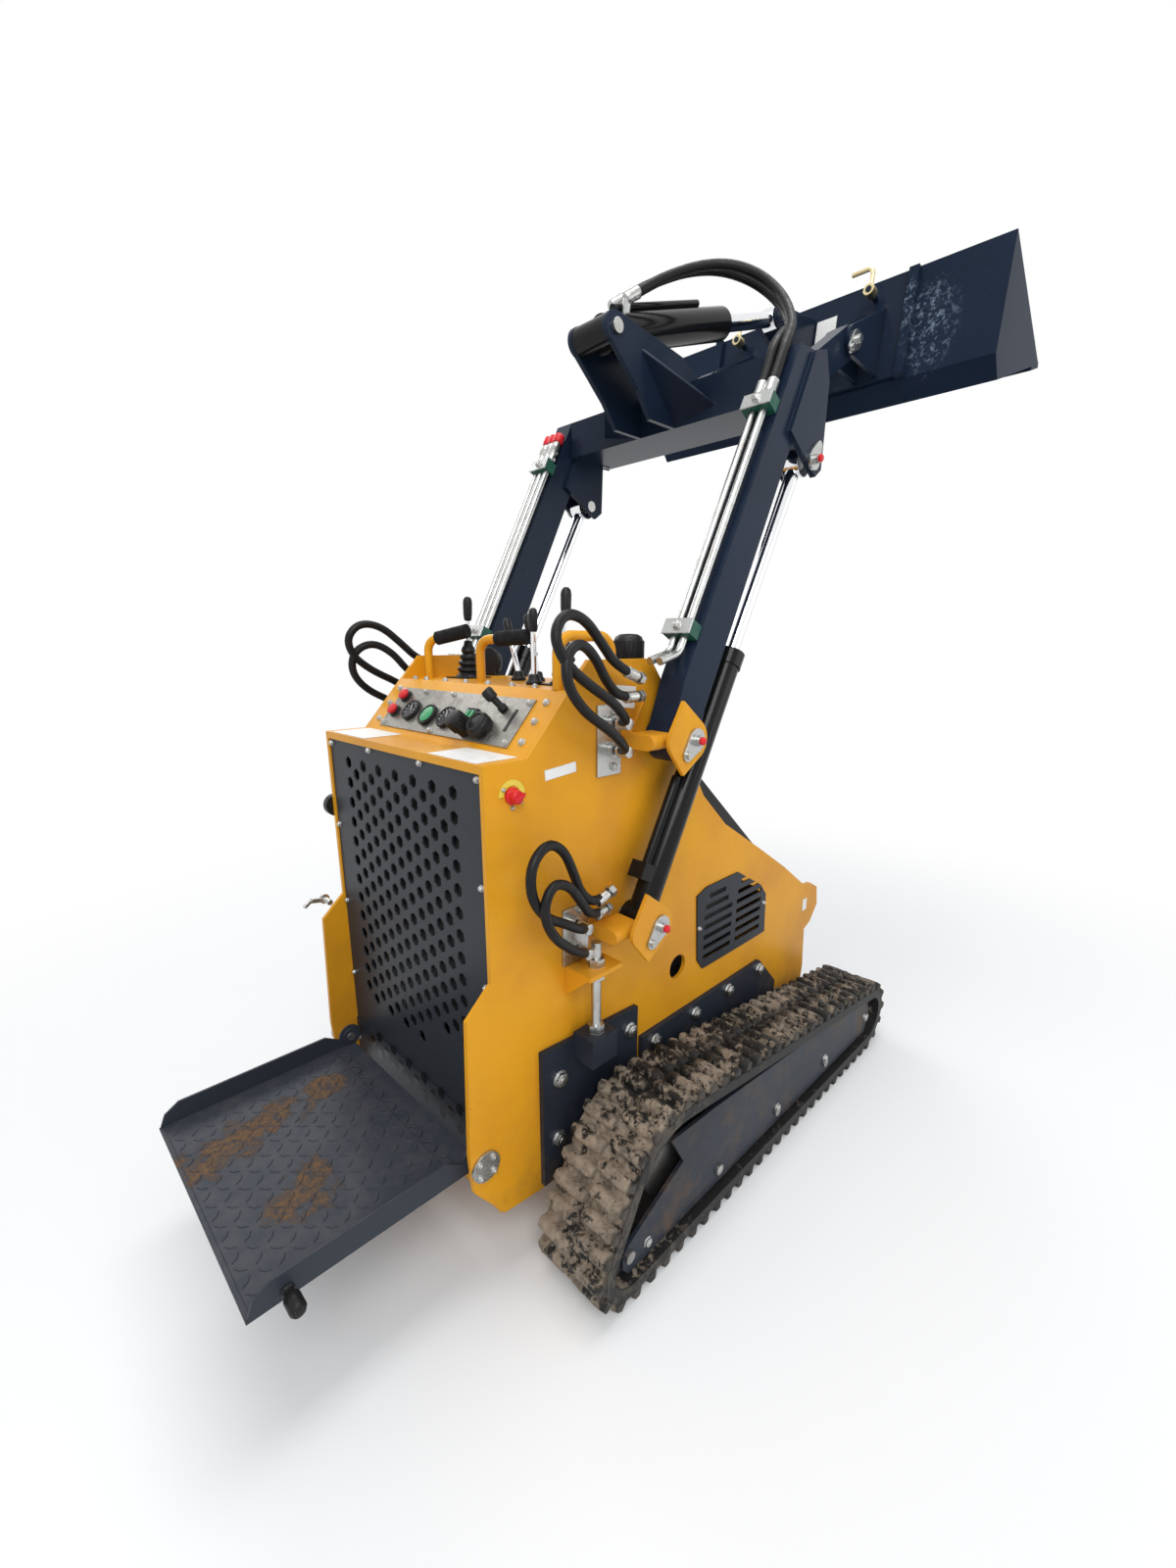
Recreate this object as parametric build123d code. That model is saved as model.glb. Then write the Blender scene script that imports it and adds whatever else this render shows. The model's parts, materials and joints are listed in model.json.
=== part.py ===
"""Compact track loader: a stand-on mini loader with raised lift arms, bucket and fold-up footplate.

The model is laid out in the machine's own axes: X = 0 at the rear panel and +X forward, +Y to the left,
Z = 0 on the ground. The export moves every piece so that the origin lies below the middle of the whole.
Sizes are in millimetres.
"""
from build123d import *
import math
import os

os.makedirs("parts", exist_ok=True)

# ------------------------------------------------------------------ driving sizes
# Body
BODY_HALF = 300  # centre plane to the outer face of a side plate
SIDE_T = 10
SHEET_T = 4
FLOOR_T = 8
FLOOR_Z = 150
CONSOLE_LOW_Z = 1045
CONSOLE_TOP_Z = 1155
CONSOLE_BREAK_X = 94
CONSOLE_DECK_X = 193
CONSOLE_END_X = 456
PANEL_X = 4
PANEL_BOTTOM_Z = 322
HOOD_DROP = 14  # hood below the side plates' sloping edge
FRONT_WALL_X = 1140

# Pivots, (X, Z)
ARM_PIVOT = (437, 1052)
CYLINDER_PIVOT = (343, 687)
KNEE_PIVOT = (856, 1631)
TOWER_PIVOT = (563, 1898)
HITCH_PIVOT = (1305, 2030)
TILT_PIVOT = (1290, 2150)
PLATFORM_PIVOT = (-30, 295)

# Pins and running clearance
ARM_PIN_R = 20
CYLINDER_PIN_R = 15
HITCH_PIN_R = 20
PLATFORM_PIN_R = 10
RUNNING = 0.05  # radial clearance of a pin in its bore
SIDE_GAP = 1  # side clearance of a hub between its ears

# Brackets of bent plate
EAR_REACH = 100  # side plate to the outer face of a bracket's ear
EAR_OUTER = BODY_HALF + EAR_REACH
BRACKET_T = 8

# Lift frame
ARM_GAP = 15  # side plate to the arm
ARM_WIDTH = 60
ARM_IN = BODY_HALF + ARM_GAP
ARM_OUT = ARM_IN + ARM_WIDTH
KNEE_T = 10
BEAM_X = (775, 935)
BEAM_Z = (1745, 1835)
TOWER_HALF = 60
TOWER_T = 12
HORN_IN = 191
HORN_OUT = 237
HORN_BOSS_R = 40

# Lift cylinders
LIFT_Y = ARM_IN + ARM_WIDTH / 2
LIFT_BARREL_R = 28.5
LIFT_BARREL_LENGTH = 600
LIFT_ROD_R = 16
LIFT_EYE_R = 32
LIFT_EYE_HALF = 20
LIFT_BORE = 62  # start of the barrel's bore, from the base pin
LIFT_STROKE = 400
END_GAP = 8  # rod end to bore end, fully closed

# Tilt cylinder
TILT_BARREL_R = 39
TILT_BARREL_LENGTH = 492
TILT_ROD_R = 20
TILT_EYE_R = 30
TILT_EYE_HALF = 20
TILT_BORE = 205
TILT_RETRACT = 135

# Quick attach and bucket
BUCKET_HALF = 550
BUCKET_T = 6
BUCKET_BACK_LOW = (1470, 1963)
BUCKET_BACK_TOP = (1512, 2247)
BUCKET_HEEL = (1511, 1911)
BUCKET_LIP = (1894, 2050)
ATTACH_HALF = 300
ATTACH_T = 12
EAR_T = 12

# Footplate
PLATFORM_GAP = 21  # side plate's inner face to the footplate
PLATFORM_HALF = BODY_HALF - SIDE_T - PLATFORM_GAP
PLATFORM_REAR_X = -435
PLATFORM_TOP_Z = 273
PLATFORM_T = 5
PLATFORM_FLANGE_Z = 316
TREAD_H = 1.5  # the chequer pattern, as one raised field
TREAD_MARGIN = 8

# Tracks
TRACK_GAP = 43  # side plate to the belt
TRACK_WIDTH = 172
TRACK_IN = BODY_HALF + TRACK_GAP
TRACK_OUT = TRACK_IN + TRACK_WIDTH
LUG_H = 22
BAND_T = 25
LUG_PITCH = 72
SPROCKET = (290, 190, 181)  # X, Z and the outer radius over the lugs
FRONT_IDLER = (1252, 113, 113)
REAR_IDLER = (151, 100, 100)
ROLLERS_X = (452, 710, 977)
ROLLER_Z = 95
SEAT = 0.3  # the gap left where one piece rests on another


# ------------------------------------------------------------------ helpers
def plate(points, y_low, y_high):
    """A plate with an X-Z outline between two values of Y."""
    face = make_face(Polyline(*points, close=True))
    return extrude(Plane.XZ.offset(-y_high) * face, amount=y_high - y_low)


def block(x, y, z):
    """A box from (low, high) along each axis."""
    size = [high - low for low, high in (x, y, z)]
    middle = [(high + low) / 2 for low, high in (x, y, z)]
    return Pos(*middle) * Box(*size)


def cross_pin(centre, radius, y_low, y_high):
    """A round bar along Y."""
    x, z = centre
    return extrude(Plane.XZ.offset(-y_high) * Pos(x, z) * Circle(radius), amount=y_high - y_low)


def bar(start, end, radius):
    """A round bar between two points."""
    start = Vector(*start)
    line = Vector(*end) - start
    return extrude(Plane(origin=start, z_dir=line) * Circle(radius), amount=line.length)


def bent_sheet(points, thickness, y_low, y_high):
    """Sheet folded along an X-Z line; its thickness lies on the right of the direction of travel."""
    inner = []
    for i, (x, z) in enumerate(points):
        normals = []
        for j in (i - 1, i):
            if 0 <= j < len(points) - 1:
                run = Vector(points[j + 1][0] - points[j][0], points[j + 1][1] - points[j][1]).normalized()
                normals.append(Vector(run.Y, -run.X))
        mean = sum(normals, Vector()).normalized()
        reach = thickness / mean.dot(normals[0])
        inner.append((x + mean.X * reach, z + mean.Y * reach))
    return plate(list(points) + inner[::-1], y_low, y_high)


def hull_plate(circles, corners, y_low, y_high):
    """A plate whose outline wraps circles (x, z, radius) and corner points."""
    edges = []
    for x, z, radius in circles:
        edges += (Pos(x, z) * Circle(radius)).edges()
    for x, z in corners:
        edges += (Pos(x, z) * Circle(0.5)).edges()
    return extrude(Plane.XZ.offset(-y_high) * make_hull(edges), amount=y_high - y_low)


def both_sides(shape):
    """The shape on -Y with its mirror image on +Y."""
    return [shape, mirror(shape, about=Plane.XZ)]


def along(start, end, distance, side=0.0):
    """The X-Z point at a distance along a line, and to the right of it."""
    dx, dz = end[0] - start[0], end[1] - start[1]
    length = math.hypot(dx, dz)
    dx, dz = dx / length, dz / length
    return (start[0] + dx * distance + dz * side, start[1] + dz * distance - dx * side)


parts = {}

# ------------------------------------------------------------------ body
SIDE_OUTLINE = [
    (0, CONSOLE_LOW_Z), (CONSOLE_BREAK_X, CONSOLE_LOW_Z), (CONSOLE_DECK_X, CONSOLE_TOP_Z), (242, 1208),
    (400, 1208), (425, 1196), (458, 1156), (465, 1136), (620, 892), (719, 803), (895, 698), (1043, 607),
    (1179, 514), (1219, 510), (1271, 482), (1283, 421), (1244, 372), (1207, 357), (1217, 226),
    (1205, FLOOR_Z - 5), (104, FLOOR_Z - 5), (11, 156), (-56, 250), (-62, 330), (-54, 604), (0, 655),
]
GRILLE_OUTLINE = [
    (644, 438), (620, 469), (608, 643), (647, 657), (788, 659), (909, 590), (940, 554), (945, 439), (876, 438),
]
PORT_HOLE = (543, 481, 30)

side = plate(SIDE_OUTLINE, -BODY_HALF, -BODY_HALF + SIDE_T)
grille_window = plate(GRILLE_OUTLINE, -BODY_HALF - 1, -BODY_HALF + SIDE_T + 1)
grille_window = scale(grille_window, by=(0.9, 1, 0.86))
grille_centre = Vector(777, 0, 549)
grille_window = Pos(grille_centre.X * 0.1, 0, grille_centre.Z * 0.14) * grille_window
side -= grille_window
side -= cross_pin(PORT_HOLE[:2], PORT_HOLE[2], -BODY_HALF - 1, -BODY_HALF + SIDE_T + 1)
for pivot, radius in (
    (ARM_PIVOT, ARM_PIN_R),
    (CYLINDER_PIVOT, CYLINDER_PIN_R),
    (PLATFORM_PIVOT, PLATFORM_PIN_R),
):
    side -= cross_pin(pivot, radius, -BODY_HALF - 1, -BODY_HALF + SIDE_T + 1)
parts["side_plate_right"] = side
parts["side_plate_left"] = mirror(side, about=Plane.XZ)

INNER = BODY_HALF - SIDE_T
tub = block((16, 1200), (-INNER, INNER), (FLOOR_Z, FLOOR_Z + FLOOR_T))
tub += block((FRONT_WALL_X, FRONT_WALL_X + FLOOR_T), (-INNER, INNER), (FLOOR_Z, 505))
tub += block((8, 16), (-INNER, INNER), (FLOOR_Z, PANEL_BOTTOM_Z + 30))
tub += block((1192, 1200), (-INNER, INNER), (FLOOR_Z, 240))
parts["body_tub"] = tub

console = bent_sheet(
    [
        (0, 1030), (0, CONSOLE_LOW_Z), (CONSOLE_BREAK_X, CONSOLE_LOW_Z), (CONSOLE_DECK_X, CONSOLE_TOP_Z),
        (CONSOLE_END_X, CONSOLE_TOP_Z), (CONSOLE_END_X, 1120),
    ],
    SHEET_T, -INNER, INNER,
)
parts["console_deck"] = console

# Perforated rear panel: rows (top Z, holes, Y shift) of hexagonal holes
rear = block((PANEL_X, PANEL_X + SHEET_T), (-INNER, INNER), (PANEL_BOTTOM_Z, 1040))
HEX_FLAT = 24
HEX_PITCH_Y = 68
HEX_PITCH_Z = 45
hex_cut = extrude(Plane.YZ * RegularPolygon(HEX_FLAT / 2, 6, major_radius=False, rotation=30), amount=3 * SHEET_T)
holes = []
for row in range(26):
    count = 6 if row % 2 else 7
    z = 985 - row * HEX_PITCH_Z / 2
    for column in range(count):
        y = (column - (count - 1) / 2) * HEX_PITCH_Y
        if z < 470 and y < -60:
            continue
        holes.append(Pos(0, y, z) * hex_cut)
rear -= holes
rear -= block((0, 20), (-INNER, -200), (PANEL_BOTTOM_Z + 60, 470))
parts["rear_panel"] = rear

# Control panel and the instruments on the console's slope
slope_start = (CONSOLE_BREAK_X, CONSOLE_LOW_Z)
slope_end = (CONSOLE_DECK_X, CONSOLE_TOP_Z)


def on_slope(y, s, lift=0.0):
    """A place on the console's slope: Y, distance up the slope and height off the sheet, with its Z outward."""
    x, z = along(slope_start, slope_end, s, -lift)
    outward = Vector(slope_start[1] - slope_end[1], 0, slope_end[0] - slope_start[0])
    return Plane(origin=(x, y, z), x_dir=(0, -1, 0), z_dir=outward).location


PANEL_PLATE_T = 3
panel = on_slope(4, 67) * Pos(0, 0, PANEL_PLATE_T / 2) * Box(474, 108, PANEL_PLATE_T)
parts["control_panel"] = panel

# Instruments: Y, distance up the slope, radius, height
INSTRUMENTS = [
    (205, 95, 15, 16), (210, 53, 15, 16), (143, 60, 26, 9), (69, 54, 26, 9), (-3, 55, 26, 9), (-70, 78, 14, 14),
    (-134, 44, 26, 22), (-92, 34, 19, 46), (-163, 91, 10, 52),
]
instruments = []
for y, s, radius, height in INSTRUMENTS:
    body = on_slope(y, s, PANEL_PLATE_T) * Pos(0, 0, height / 2) * Cylinder(radius, height)
    instruments.append(body)
parts["instruments"] = instruments

parts["engine_block"] = block((430, 900), (-230, 230), (FLOOR_Z + FLOOR_T + SEAT, 620))

HOOD_LINE = [
    (CONSOLE_END_X + 10, 1144 - HOOD_DROP), (620, 892 - HOOD_DROP), (719, 803 - HOOD_DROP),
    (895, 698 - HOOD_DROP), (1043, 607 - HOOD_DROP), (FRONT_WALL_X, 540 - HOOD_DROP),
    (FRONT_WALL_X, 505),
]
parts["hood_panel"] = bent_sheet(HOOD_LINE, SHEET_T, -INNER, INNER)

# Side grilles: two columns and seven rows of slots
grille = plate(GRILLE_OUTLINE, -BODY_HALF - SHEET_T, -BODY_HALF)
slots = []
for row in range(7):
    z = 468 + row * 27
    half = 62 if row < 5 else 50 - 14 * (row - 5)
    for x in (705, 850):
        shift = 0 if row < 5 else -8
        slots.append(block((x + shift - half, x + shift + half), (-BODY_HALF - 6, -BODY_HALF + 1), (z - 6, z + 6)))
grille -= slots
parts["side_grilles"] = both_sides(grille)


def bracket(pivot, pin_radius):
    """Bent-plate bracket on the right side plate: a V-shaped back, a slot in it and an outer ear."""
    x, z = pivot
    back = [(x - 33, z - 67), (x - 89, z), (x - 39, z + 79)]
    shell = bent_sheet(back, BRACKET_T, -EAR_OUTER + BRACKET_T, -BODY_HALF)
    ear = hull_plate([(x, z, 40)], back, -EAR_OUTER, -EAR_OUTER + BRACKET_T)
    shape = shell + ear
    middle = (ARM_IN + ARM_OUT + 10) / 2
    shape -= block((x - 100, x - 50), (-middle - 32, -middle + 32), (z - 14, z + 18))
    shape -= cross_pin(pivot, pin_radius, -EAR_OUTER - 1, -BODY_HALF + 1)
    return shape


parts["pivot_brackets"] = both_sides(bracket(ARM_PIVOT, ARM_PIN_R)) + both_sides(
    bracket(CYLINDER_PIVOT, CYLINDER_PIN_R)
)


def retained_pin(pivot, radius, y_low, y_high):
    """A pin with its retainer plate, bolt and grease cap on its outer end (-Y)."""
    x, z = pivot
    shape = cross_pin(pivot, radius, y_low, y_high)
    keeper = hull_plate([(x, z, 24), (x - 28, z - 26, 13)], [], y_low - 6, y_low)
    bolt = cross_pin((x - 28, z - 26), 8, y_low - 12, y_low - 6)
    cap = cross_pin(pivot, 11, y_low - 16, y_low - 6)
    return shape + keeper + bolt + cap


pins = both_sides(retained_pin(ARM_PIVOT, ARM_PIN_R, -EAR_OUTER, -INNER + 6))
pins += both_sides(retained_pin(CYLINDER_PIVOT, CYLINDER_PIN_R, -EAR_OUTER, -INNER + 6))
parts["pivot_pins"] = pins

# Grab handles: two bent tubes with foam ends, each a foot, a bend and a free end, and one bare arch
DECK = CONSOLE_TOP_Z
HANDLE_R = 10
GRIP_R = 16
GRIP_LENGTH = 82
HANDLES = [((252, 262), 1243, (290, 158, 1264)), ((255, 52), 1244, (278, -82, 1250))]
handles = []
grips = []
for (foot_x, foot_y), bend_z, end in HANDLES:
    path = FilletPolyline((foot_x, foot_y, DECK), (foot_x, foot_y, bend_z), end, radius=30)
    handle = sweep(Plane(origin=path @ 0, z_dir=path % 0) * Circle(HANDLE_R), path=path)
    handles.append(handle)
    end = Vector(*end)
    direction = path % 1
    grip = bar(end - direction * GRIP_LENGTH, end + direction * 6, GRIP_R)
    grips.append(grip - bar(end - direction * (GRIP_LENGTH + 1), end, HANDLE_R))
arch = FilletPolyline((200, -262, DECK), (200, -262, 1250), (340, -262, 1250), (340, -262, DECK), radius=34)
handles.append(sweep(Plane(origin=arch @ 0, z_dir=arch % 0) * Circle(HANDLE_R), path=arch))
parts["grab_handles"] = handles
parts["handle_grips"] = grips

# Joysticks with bellows, and plain levers beside them
controls = []
for x, y in ((320, 196), (300, -172)):
    profile = Polyline((0, 0), (27, 0), (27, 12), (22, 16), (24, 28), (18, 32), (20, 44), (14, 48), (16, 60), (10, 64),
                       (10, 88), (5, 90), (5, 138), (8, 140), (9, 180), (7, 188), (0, 190), close=True)
    stick = revolve(Plane.XZ * make_face(profile), axis=Axis.Z)
    controls.append(Pos(x, y, DECK) * stick)
LEVERS = [(335, 20, 104), (340, -40, 110), (262, -122, 116)]
for x, y, height in LEVERS:
    lever = Pos(x, y, DECK) * Cylinder(6, height, align=(Align.CENTER, Align.CENTER, Align.MIN))
    knob = Pos(x, y, DECK + height) * Cylinder(8, 34, align=(Align.CENTER, Align.CENTER, Align.MIN))
    foot = Pos(x, y, DECK) * Cylinder(16, 20, align=(Align.CENTER, Align.CENTER, Align.MIN))
    controls.append(foot + lever + knob)
parts["control_levers"] = controls

CAP = (418, -238)
cap = Pos(*CAP, DECK) * Cylinder(24, 45, align=(Align.CENTER, Align.CENTER, Align.MIN))
cap += Pos(*CAP, DECK + 45) * Cylinder(33, 56, align=(Align.CENTER, Align.CENTER, Align.MIN))
parts["filler_cap"] = cap

# ------------------------------------------------------------------ hoses and bulkheads
BULKHEAD_T = 5
HOSE_R = 9
# Each bulkhead: X range, Z range and the two fittings' (X, Z)
BULKHEADS = [
    ((260, 325), (989, 1125), ((292, 1092), (292, 1040))),
    ((168, 235), (627, 744), ((189, 716), (189, 664))),
]
bulkheads = []
for x_range, z_range, fittings in BULKHEADS:
    shape = block(x_range, (-BODY_HALF - BULKHEAD_T, -BODY_HALF), z_range)
    for centre in fittings:
        shape += cross_pin(centre, 14, -BODY_HALF - BULKHEAD_T - 16, -BODY_HALF - BULKHEAD_T)
    bulkheads += both_sides(shape)
parts["hose_bulkheads"] = bulkheads

# Hose routes on the right side, one row of points each, bulkhead end first
HOSE_ROUTES = [
    [(292, -321.5, 1092), (292, -345, 1092), (270, -364, 1108), (226, -372, 1140), (160, -378, 1172), (112, -374, 1208), (98, -366, 1250),
     (128, -358, 1284), (178, -352, 1278), (224, -346, 1240), (270, -342, 1196), (330, -340, 1176)],
    [(292, -321.5, 1040), (292, -345, 1040), (262, -370, 1058), (212, -380, 1092), (146, -388, 1126), (110, -384, 1170), (116, -374, 1218),
     (158, -362, 1240), (204, -352, 1216), (240, -346, 1170), (280, -342, 1140), (330, -340, 1140)],
    [(189, -321.5, 716), (189, -345, 716), (160, -362, 728), (116, -366, 756), (66, -370, 784), (38, -368, 830), (44, -364, 884),
     (84, -360, 912), (122, -358, 890), (146, -356, 844), (166, -354, 796), (205, -352, 762), (244, -350, 772)],
    [(189, -321.5, 664), (189, -345, 664), (162, -366, 680), (118, -376, 710), (72, -382, 752), (52, -382, 806), (76, -380, 846),
     (116, -378, 832), (150, -372, 790), (190, -360, 742), (240, -346, 738)],
]


def hose(points, radius=HOSE_R):
    """A tube along straight runs joined by tangent arcs, each as large as its two runs allow."""
    corners = []
    for a, b, c in zip(points, points[1:], points[2:]):
        run_in = Vector(*b) - Vector(*a)
        run_out = Vector(*c) - Vector(*b)
        turn = math.radians(run_in.get_angle(run_out))
        corners.append(0.45 * min(run_in.length, run_out.length) / math.tan(turn / 2))
    path = FilletPolyline(*points, radius=corners)
    tube = sweep(Plane(origin=path @ 0, z_dir=path % 0) * Circle(radius), path=path)
    expected = math.pi * radius**2 * path.length
    print("hose", round(min(corners)), "mm smallest bend; volume ratio", round(tube.volume / expected, 4))
    return tube


right_hoses = [hose(route) for route in HOSE_ROUTES]
parts["side_hoses"] = [side_tube for tube in right_hoses for side_tube in both_sides(tube)]

# ------------------------------------------------------------------ undercarriage
REAR_MOUNT = [(104, 468), (385, 450), (385, 160), (104, 160)]
FRONT_MOUNT = [(403, 360), (918, 360), (1015, 259), (1015, 150), (403, 150)]
MOUNT_T = 12
mounts = []
for outline in (REAR_MOUNT, FRONT_MOUNT):
    mounts += both_sides(plate(outline, -BODY_HALF - MOUNT_T, -BODY_HALF))
parts["track_mounts"] = mounts

# Height adjusters: gusset shelf, threaded rod and the block that it stands on
ADJUSTER_REACH = 41  # side plate to the screw
ADJUSTER = (221, -BODY_HALF - ADJUSTER_REACH)
SHELF_Z = (615, 625)
SHELF_EDGE_Y = ADJUSTER[1] - 29
SCREW_R = 10
NUT_H = 17
FOOT_TOP_Z = 480
shelf = block((ADJUSTER[0] - 45, ADJUSTER[0] + 45), (SHELF_EDGE_Y, -BODY_HALF), SHELF_Z)
gusset_outline = Polyline(
    (-BODY_HALF, SHELF_Z[0]), (SHELF_EDGE_Y + 8, SHELF_Z[0]), (-BODY_HALF, SHELF_Z[0] - 55), close=True,
)
gusset = extrude(Plane.YZ.offset(ADJUSTER[0] - 45) * make_face(gusset_outline), amount=SIDE_T)
screw = bar((*ADJUSTER, FOOT_TOP_Z), (*ADJUSTER, 675), SCREW_R)
foot_block = block((ADJUSTER[0] - 35, ADJUSTER[0] + 35), (ADJUSTER[1] - 27, -BODY_HALF - MOUNT_T), (420, FOOT_TOP_Z))
nuts = Part()
for z in (FOOT_TOP_Z, SHELF_Z[0] - NUT_H - 1, SHELF_Z[1]):
    nuts += Pos(*ADJUSTER, z) * extrude(RegularPolygon(15, 6, major_radius=False), amount=NUT_H)
shelf -= bar((*ADJUSTER, SHELF_Z[0] - 15), (*ADJUSTER, SHELF_Z[1] + 15), SCREW_R)
parts["track_adjusters"] = both_sides(shelf + gusset + screw + foot_block + nuts)


def belt_circles(inset):
    """The three circles of the belt's path, drawn in from the lugs' tips by an inset."""
    return [(x, z, r - inset) for x, z, r in (REAR_IDLER, FRONT_IDLER, SPROCKET)]


def loop_pieces(circles):
    """Tangent lines and arcs round the circles, anticlockwise in X-Z: (kind, start, end, centre, radius)."""
    pieces = []
    tangents = []
    for (x0, z0, r0), (x1, z1, r1) in zip(circles, circles[1:] + circles[:1]):
        dx, dz = x1 - x0, z1 - z0
        span = math.hypot(dx, dz)
        tilt = math.atan2(dz, dx) + math.asin((r0 - r1) / span)
        nx, nz = math.sin(tilt), -math.cos(tilt)
        tangents.append(((x0 + nx * r0, z0 + nz * r0), (x1 + nx * r1, z1 + nz * r1)))
    for i, (start, end) in enumerate(tangents):
        pieces.append(("line", start, end, None, None))
        x, z, r = circles[(i + 1) % 3]
        following = tangents[(i + 1) % 3][0]
        pieces.append(("arc", end, following, (x, z), r))
    return pieces


def loop_face(circles):
    """The area inside the loop."""
    edges = []
    for kind, start, end, centre, radius in loop_pieces(circles):
        if kind == "line":
            edges.append(Line(start, end))
        else:
            a = math.atan2(start[1] - centre[1], start[0] - centre[0])
            b = math.atan2(end[1] - centre[1], end[0] - centre[0])
            sweep_angle = (b - a) % (2 * math.pi)
            middle = a + sweep_angle / 2
            top = (centre[0] + radius * math.cos(middle), centre[1] + radius * math.sin(middle))
            edges.append(ThreePointArc(start, top, end))
    return make_face(edges)


def loop_stations(circles, count):
    """Evenly spaced stations on the loop: (X, Z, direction of travel in degrees)."""
    pieces = []
    for kind, start, end, centre, radius in loop_pieces(circles):
        if kind == "line":
            length = math.dist(start, end)
            angle = math.atan2(end[1] - start[1], end[0] - start[0])
            pieces.append((length, start, angle, None, None))
        else:
            a = math.atan2(start[1] - centre[1], start[0] - centre[0])
            b = math.atan2(end[1] - centre[1], end[0] - centre[0])
            pieces.append((radius * ((b - a) % (2 * math.pi)), start, a, centre, radius))
    total = sum(piece[0] for piece in pieces)
    stations = []
    for step in range(count):
        s = (step + 0.5) * total / count
        for length, start, angle, centre, radius in pieces:
            if s <= length:
                break
            s -= length
        if centre is None:
            x = start[0] + s * math.cos(angle)
            z = start[1] + s * math.sin(angle)
            heading = angle
        else:
            at = angle + s / radius
            x = centre[0] + radius * math.cos(at)
            z = centre[1] + radius * math.sin(at)
            heading = at + math.pi / 2
        stations.append((x, z, math.degrees(heading)))
    return stations, total


band_outer = belt_circles(LUG_H)
band_inner = belt_circles(LUG_H + BAND_T)
_, belt_length = loop_stations(band_outer, 1)
LINKS = round(belt_length / LUG_PITCH)
stations, _ = loop_stations(band_outer, 2 * LINKS)
LUG_FOOT = 38
LUG_TIP = 28
LUG_ROOT = 2
TRACK_MIDDLE = (TRACK_IN + TRACK_OUT) / 2
lug_profile = make_face(
    Polyline((-LUG_FOOT / 2, LUG_ROOT), (LUG_FOOT / 2, LUG_ROOT), (LUG_TIP / 2, -LUG_H), (-LUG_TIP / 2, -LUG_H),
             close=True)
)
belt = extrude(Plane.XZ.offset(TRACK_IN) * (loop_face(band_outer) - loop_face(band_inner)), amount=TRACK_OUT - TRACK_IN)
lugs = []
for index, (x, z, heading) in enumerate(stations):
    reach = (TRACK_IN, TRACK_MIDDLE - 4) if index % 2 else (TRACK_MIDDLE + 4, TRACK_OUT)
    outline = Plane.XZ.offset(reach[0]) * Pos(x, z) * Rot(0, 0, heading) * lug_profile
    lugs.append(extrude(outline, amount=reach[1] - reach[0]))
belt += lugs
belt -= block((-200, 1500), (-TRACK_OUT, -TRACK_IN), (-LUG_H, 0))
parts["track_belt_right"] = belt
parts["track_belt_left"] = mirror(belt, about=Plane.XZ)

FRAME_OUTLINE = [
    (149, 59), (134, 80), (134, 112), (148, 126), (317, 206), (274, 282), (428, 271), (1091, 196), (1252, 167),
    (1276, 130), (1271, 97), (1260, 59),
]
FRAME_T = 8
FRAME_IN = TRACK_IN + 7
FRAME_OUT = TRACK_OUT - 15
MOTOR_R = 58
SHELF_OUTLINE = [(432, 150), (1120, 150), (1120, 180), (1000, 195), (432, 230)]
frame = plate(FRAME_OUTLINE, -FRAME_OUT, -FRAME_OUT + FRAME_T)
frame += plate(FRAME_OUTLINE, -FRAME_IN - FRAME_T, -FRAME_IN)
frame += plate(SHELF_OUTLINE, -FRAME_OUT + FRAME_T, -FRAME_IN - FRAME_T)
for x_range in ((440, 500), (850, 930)):
    frame += block(x_range, (-FRAME_IN, -BODY_HALF - MOUNT_T), (160, 200))
frame -= cross_pin(SPROCKET[:2], MOTOR_R + 2, -FRAME_OUT + FRAME_T + 2, -FRAME_IN + 10)
AXLE_R = 12
axles = [REAR_IDLER[:2], FRONT_IDLER[:2]] + [(x, ROLLER_Z) for x in ROLLERS_X]
for centre in axles:
    frame -= cross_pin(centre, AXLE_R, -FRAME_OUT - 1, -FRAME_IN + 1)
parts["track_frames"] = both_sides(frame)


WHEEL_IN = FRAME_IN + FRAME_T + 10
WHEEL_OUT = FRAME_OUT - FRAME_T - 12


def wheel(centre, radius, hub_radius, y_in=WHEEL_IN, y_out=WHEEL_OUT):
    """A double-flanged wheel with its axle through both frame plates."""
    third = (y_out - y_in) / 3
    shape = cross_pin(centre, hub_radius, -y_out, -y_in)
    shape += cross_pin(centre, radius, -y_out, -y_out + third)
    shape += cross_pin(centre, radius, -y_in - third, -y_in)
    shape += cross_pin(centre, AXLE_R, -FRAME_OUT - 6, -FRAME_IN + 4)
    return shape


BELT_INSET = LUG_H + BAND_T
wheels = [
    wheel(REAR_IDLER[:2], REAR_IDLER[2] - BELT_INSET - SEAT, 30),
    wheel(FRONT_IDLER[:2], FRONT_IDLER[2] - BELT_INSET - SEAT, 40),
]
for x in ROLLERS_X:
    wheels.append(wheel((x, ROLLER_Z), ROLLER_Z - BELT_INSET - SEAT, 30))
SPROCKET_R = SPROCKET[2] - BELT_INSET - SEAT
TEETH = 12
TOOTH_TIP = math.sqrt(SPROCKET_R**2 - 9**2)
tooth = Polyline((SPROCKET_R - 16, -18), (TOOTH_TIP, -9), (TOOTH_TIP, 9), (SPROCKET_R - 16, 18), close=True)
sprocket = Circle(SPROCKET_R - 14)
for i in range(TEETH):
    sprocket += Rot(0, 0, i * 360 / TEETH) * make_face(tooth)
SPROCKET_T = 40
sprocket_in = TRACK_MIDDLE - SPROCKET_T / 2 + 1
sprocket_wheel = extrude(Plane.XZ.offset(sprocket_in) * Pos(*SPROCKET[:2]) * sprocket, amount=SPROCKET_T)
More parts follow.
